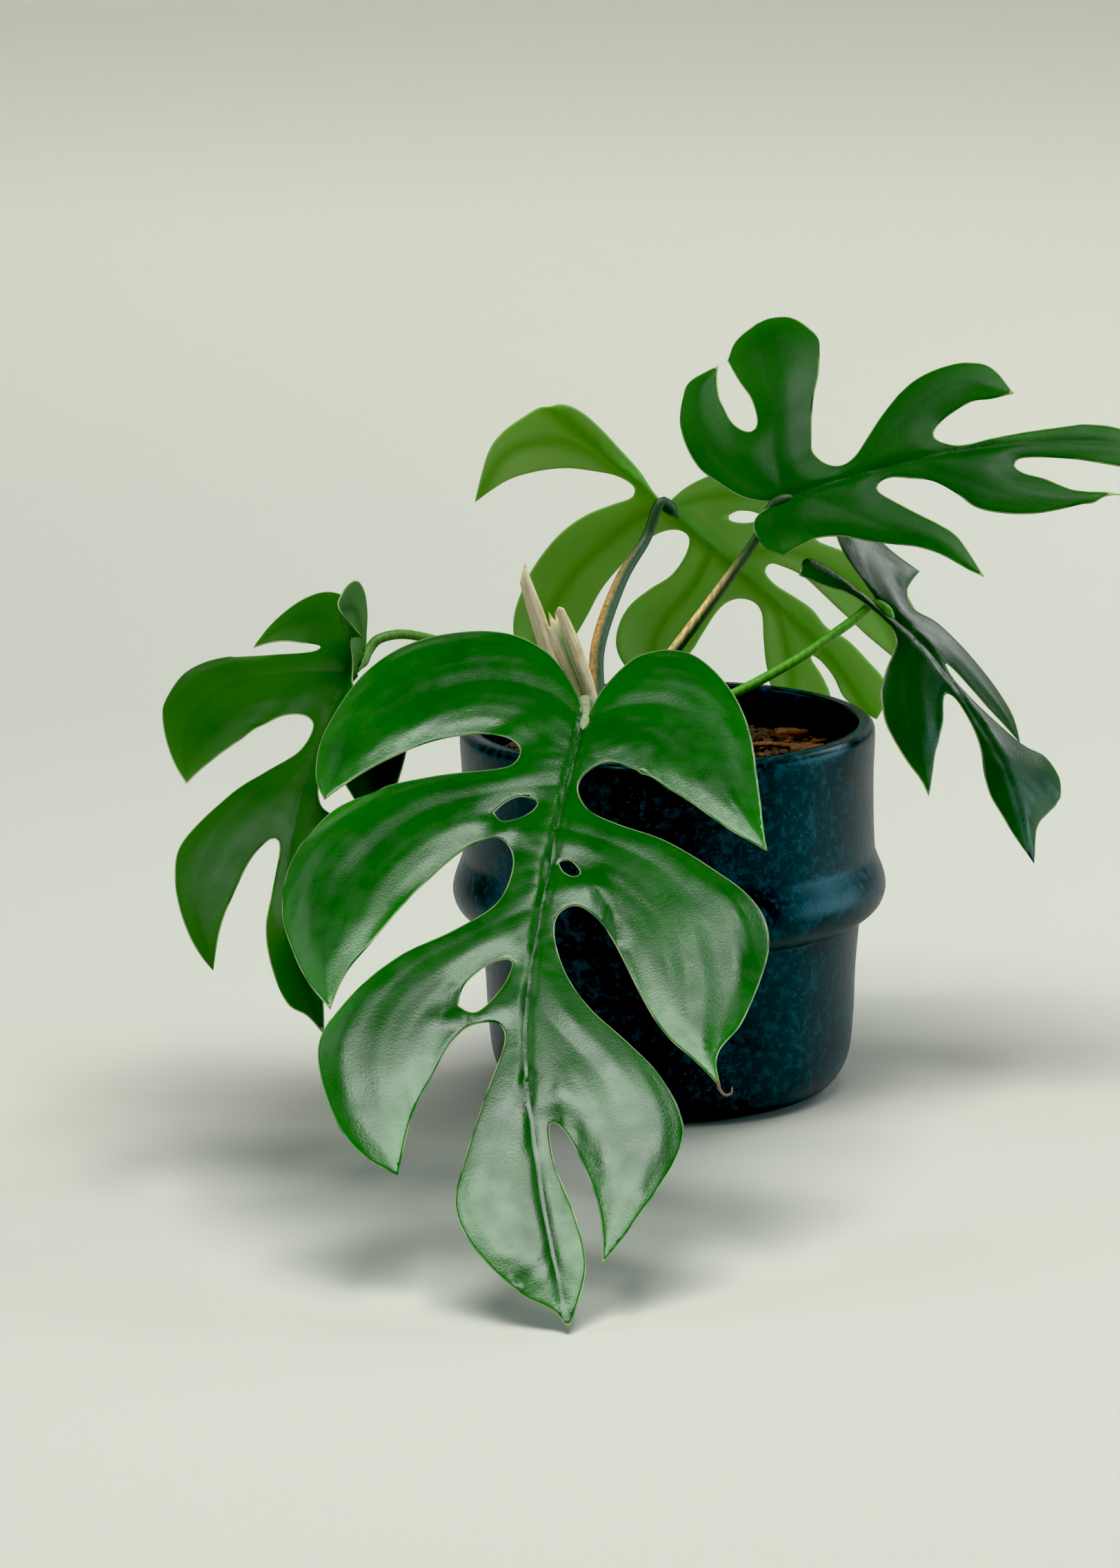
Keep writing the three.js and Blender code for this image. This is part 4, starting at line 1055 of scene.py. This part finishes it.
# Each chip's distance from the middle as a share of the soil's radius, bearing, length, width and turn.
CHIPS = [
    (.737, 8, 13, 7, 20), (.854, -27, 10, 6, 75), (.553, -54, 11, 7, 130), (.821, 38, 12, 6, 160),
    (.503, 60, 12, 7, 40), (.771, 95, 11, 6, 100), (.67, 140, 13, 7, 15), (.804, 200, 12, 6, 65),
    (.704, 245, 11, 7, 150), (.335, 330, 10, 6, 95),
]
CHIP_OUTLINE = [(-.5, -.35), (-.1, -.5), (.42, -.42), (.5, .1), (.2, .5), (-.38, .4)]


def chip_piece(index, plan):
    """A flake of bark with bevelled faces, wavy along its grain on top."""
    distance, bearing, length, width, turn = plan[0] * SOIL_RADIUS, *plan[1:]
    corners = np.array(CHIP_OUTLINE) * (length, width)
    loop = np.vstack([a + (b - a) * t for a, b in zip(corners, np.roll(corners, -1, 0))
                      for t in (0, 0.25, 0.5, 0.75)])
    low, high = SOIL_LEVEL - 0.6, SOIL_LEVEL + SEAT_GAP + CHIP_THICKNESS
    layers = [(0.9, low), (1.0, low + 1.0), (1.0, high - 0.8), (0.9, high - 0.25), (0.55, high),
              (0.2, high - 0.1)]
    turned, centre = math.radians(turn), math.radians(bearing)
    spin = np.array([[math.cos(turned), -math.sin(turned)], [math.sin(turned), math.cos(turned)]])
    at = distance * np.array((math.cos(centre), math.sin(centre)))
    vertices, tone = [], []
    for scale, z in layers:
        for x, y in loop * scale:
            wobble = noise.noise(Vector((x * 0.5, y * 0.5, z + index * 9)))
            grain = noise.noise(Vector((x * 0.25, y * 1.6, index * 5.0)))
            px, py = spin @ np.array((x, y)) * (1 + 0.08 * wobble) + at
            vertices.append((px, py, z + (0.35 * grain + 0.25 * wobble - 0.25) * (z > low + 1.5)))
            tone.append(float(np.clip(0.5 + grain, 0, 1)))
    vertices += [(*at, low), (*at, high - 0.3)]
    faces = ring_faces(len(layers), len(loop))
    name = f"bark_chip_{index}_flake"
    return mesh_object(name, vertices, faces, BARK_MATERIAL, {"tone": tone + [0.3, 0.5]}, smooth=False)


for i, plan in enumerate(CHIPS, 1):
    place(chip_piece(i, plan), f"bark_chip_{i}")

# The roots' points from the middle, as shares of the soil's radius.
ROOTS = [[(.37, .2), (.52, .27), (.67, .25), (.84, .335)], [(.4, -.2), (.553, -.285), (.704, -.235)]]


def root_piece(index, plan):
    """A thin root that lies on the soil, twisted and tapering."""
    line = [(x * SOIL_RADIUS, y * SOIL_RADIUS, SOIL_LEVEL + 0.9 + 0.35 * math.sin(i * 2.1 + index))
            for i, (x, y) in enumerate(plan)]

    def section(angle, t):
        return 1 + 0.12 * np.sin(3 * angle + 22 * t)

    def tone(share, facing):
        return {"tone": np.full(facing.shape[0] * facing.shape[1] + 2, 0.75)}

    return tube_piece(f"surface_root_{index}_strand", line, lambda t: 1.0 - 0.45 * t, BARK_MATERIAL, sides=10,
                      section=section, extra=tone)


for i, plan in enumerate(ROOTS, 1):
    place(root_piece(i, plan), f"surface_root_{i}")


# ---------------------------------------------------------------- stage, light and camera

FLOOR_REACH, WALL_AT, WALL_BEND, WALL_HEIGHT = 7000, 3600, 700, 3200


def sweep():
    """A plain floor that curves up into a wall, far enough back for a camera to stand behind the plant."""
    profile = [(-FLOOR_REACH, 0), (WALL_AT - WALL_BEND, 0)]
    profile += [(WALL_AT + WALL_BEND * (math.sin(a) - 1), WALL_BEND * (1 - math.cos(a)))
                for a in np.linspace(0.1, math.pi / 2, 14)]
    profile += [(WALL_AT, WALL_HEIGHT)]
    vertices = [(x, y, z) for y, z in profile for x in (-FLOOR_REACH, FLOOR_REACH)]
    faces = [(2 * i, 2 * i + 1, 2 * i + 3, 2 * i + 2) for i in range(len(profile) - 1)]
    return mesh_object("backdrop_sweep", vertices, faces, backdrop_material())


sweep()


def area_light(name, at, toward, size, power, colour=(1, 1, 1)):
    """A rectangular light that faces a point; places and sizes in metres, power in watts."""
    light = bpy.data.lights.new(name, "AREA")
    light.shape = "RECTANGLE"
    light.size, light.size_y = size
    light.energy, light.color = power, colour
    lamp = bpy.data.objects.new(name, light)
    bpy.context.scene.collection.objects.link(lamp)
    lamp.location = at
    lamp.rotation_euler = (Vector(toward) - Vector(at)).to_track_quat("-Z", "Y").to_euler()


area_light("softbox_overhead", (-0.08, -0.52, 1.8), (-0.05, -0.2, 0.1), (1.3, 0.8), 32)
area_light("panel_top_right", (0.47, 0.07, 1.8), (0.05, -0.18, 0.06), (0.36, 0.24), 2.8)
area_light("window_left_back", (-1.0, 0.35, 1.3), (-0.1, -0.1, 0.13), (0.5, 0.5), 1.2)
area_light("panel_right_back", (1.1, 0.82, 0.95), (0.15, 0, 0.13), (0.6, 0.6), 8, (0.95, 0.97, 1))
area_light("window_left", (-2.3, -0.3, 0.7), (0, 0, 0.1), (1.6, 1.2), 17, (0.66, 0.94, 1))
area_light("fill_front", (0.6, -3.0, 1.6), (0, 0, 0.1), (1.6, 1.0), 2)
area_light("panel_right", (2.0, 0.1, 0.35), (0, 0, 0.08), (1.6, 0.7), 18, (0.55, 0.9, 1))
area_light("floor_wash", (0, 1.25, 1.9), (0, 3.4, 1.15), (3.4, 0.8), 38)

world = bpy.data.worlds.new("room")
world.use_nodes = True
world.node_tree.nodes["Background"].inputs["Color"].default_value = (0.95, 0.97, 0.93, 1)
world.node_tree.nodes["Background"].inputs["Strength"].default_value = 0.04
bpy.context.scene.world = world
view = bpy.context.scene.view_settings
view.view_transform = "Standard"
view.use_curve_mapping = True
view.curve_mapping.black_level = (0.015, 0.015, 0.015)
view.curve_mapping.update()


CAMERA_DISTANCE = 2.4
CAMERA_TARGET = Vector((0, 0, 0.06))
LOOK_DOWN, PAN, TILT, ROLL = (math.radians(degrees) for degrees in (13.436, -0.811, 0.885, -0.711))


def photo_camera():
    """The camera stands well back and looks down on the pot by 13.4 degrees, slightly turned and rolled."""
    back = Vector((0, -math.cos(LOOK_DOWN), math.sin(LOOK_DOWN)))
    right, forward = Vector((1, 0, 0)), -back
    up = right.cross(forward)
    forward = forward * math.cos(PAN) + right * math.sin(PAN)
    right = forward.cross(up)
    forward = forward * math.cos(TILT) + up * math.sin(TILT)
    up = right.cross(forward)
    right, up = right * math.cos(ROLL) + up * math.sin(ROLL), up * math.cos(ROLL) - right * math.sin(ROLL)
    camera = bpy.data.cameras.new("camera")
    camera.lens, camera.sensor_width, camera.clip_end = 175.08, 36, 50
    eye = bpy.data.objects.new("camera", camera)
    bpy.context.scene.collection.objects.link(eye)
    turn = Matrix((right, up, -forward)).transposed().to_4x4()
    eye.matrix_world = Matrix.Translation(CAMERA_TARGET + back * CAMERA_DISTANCE) @ turn
    bpy.context.scene.camera = eye


photo_camera()
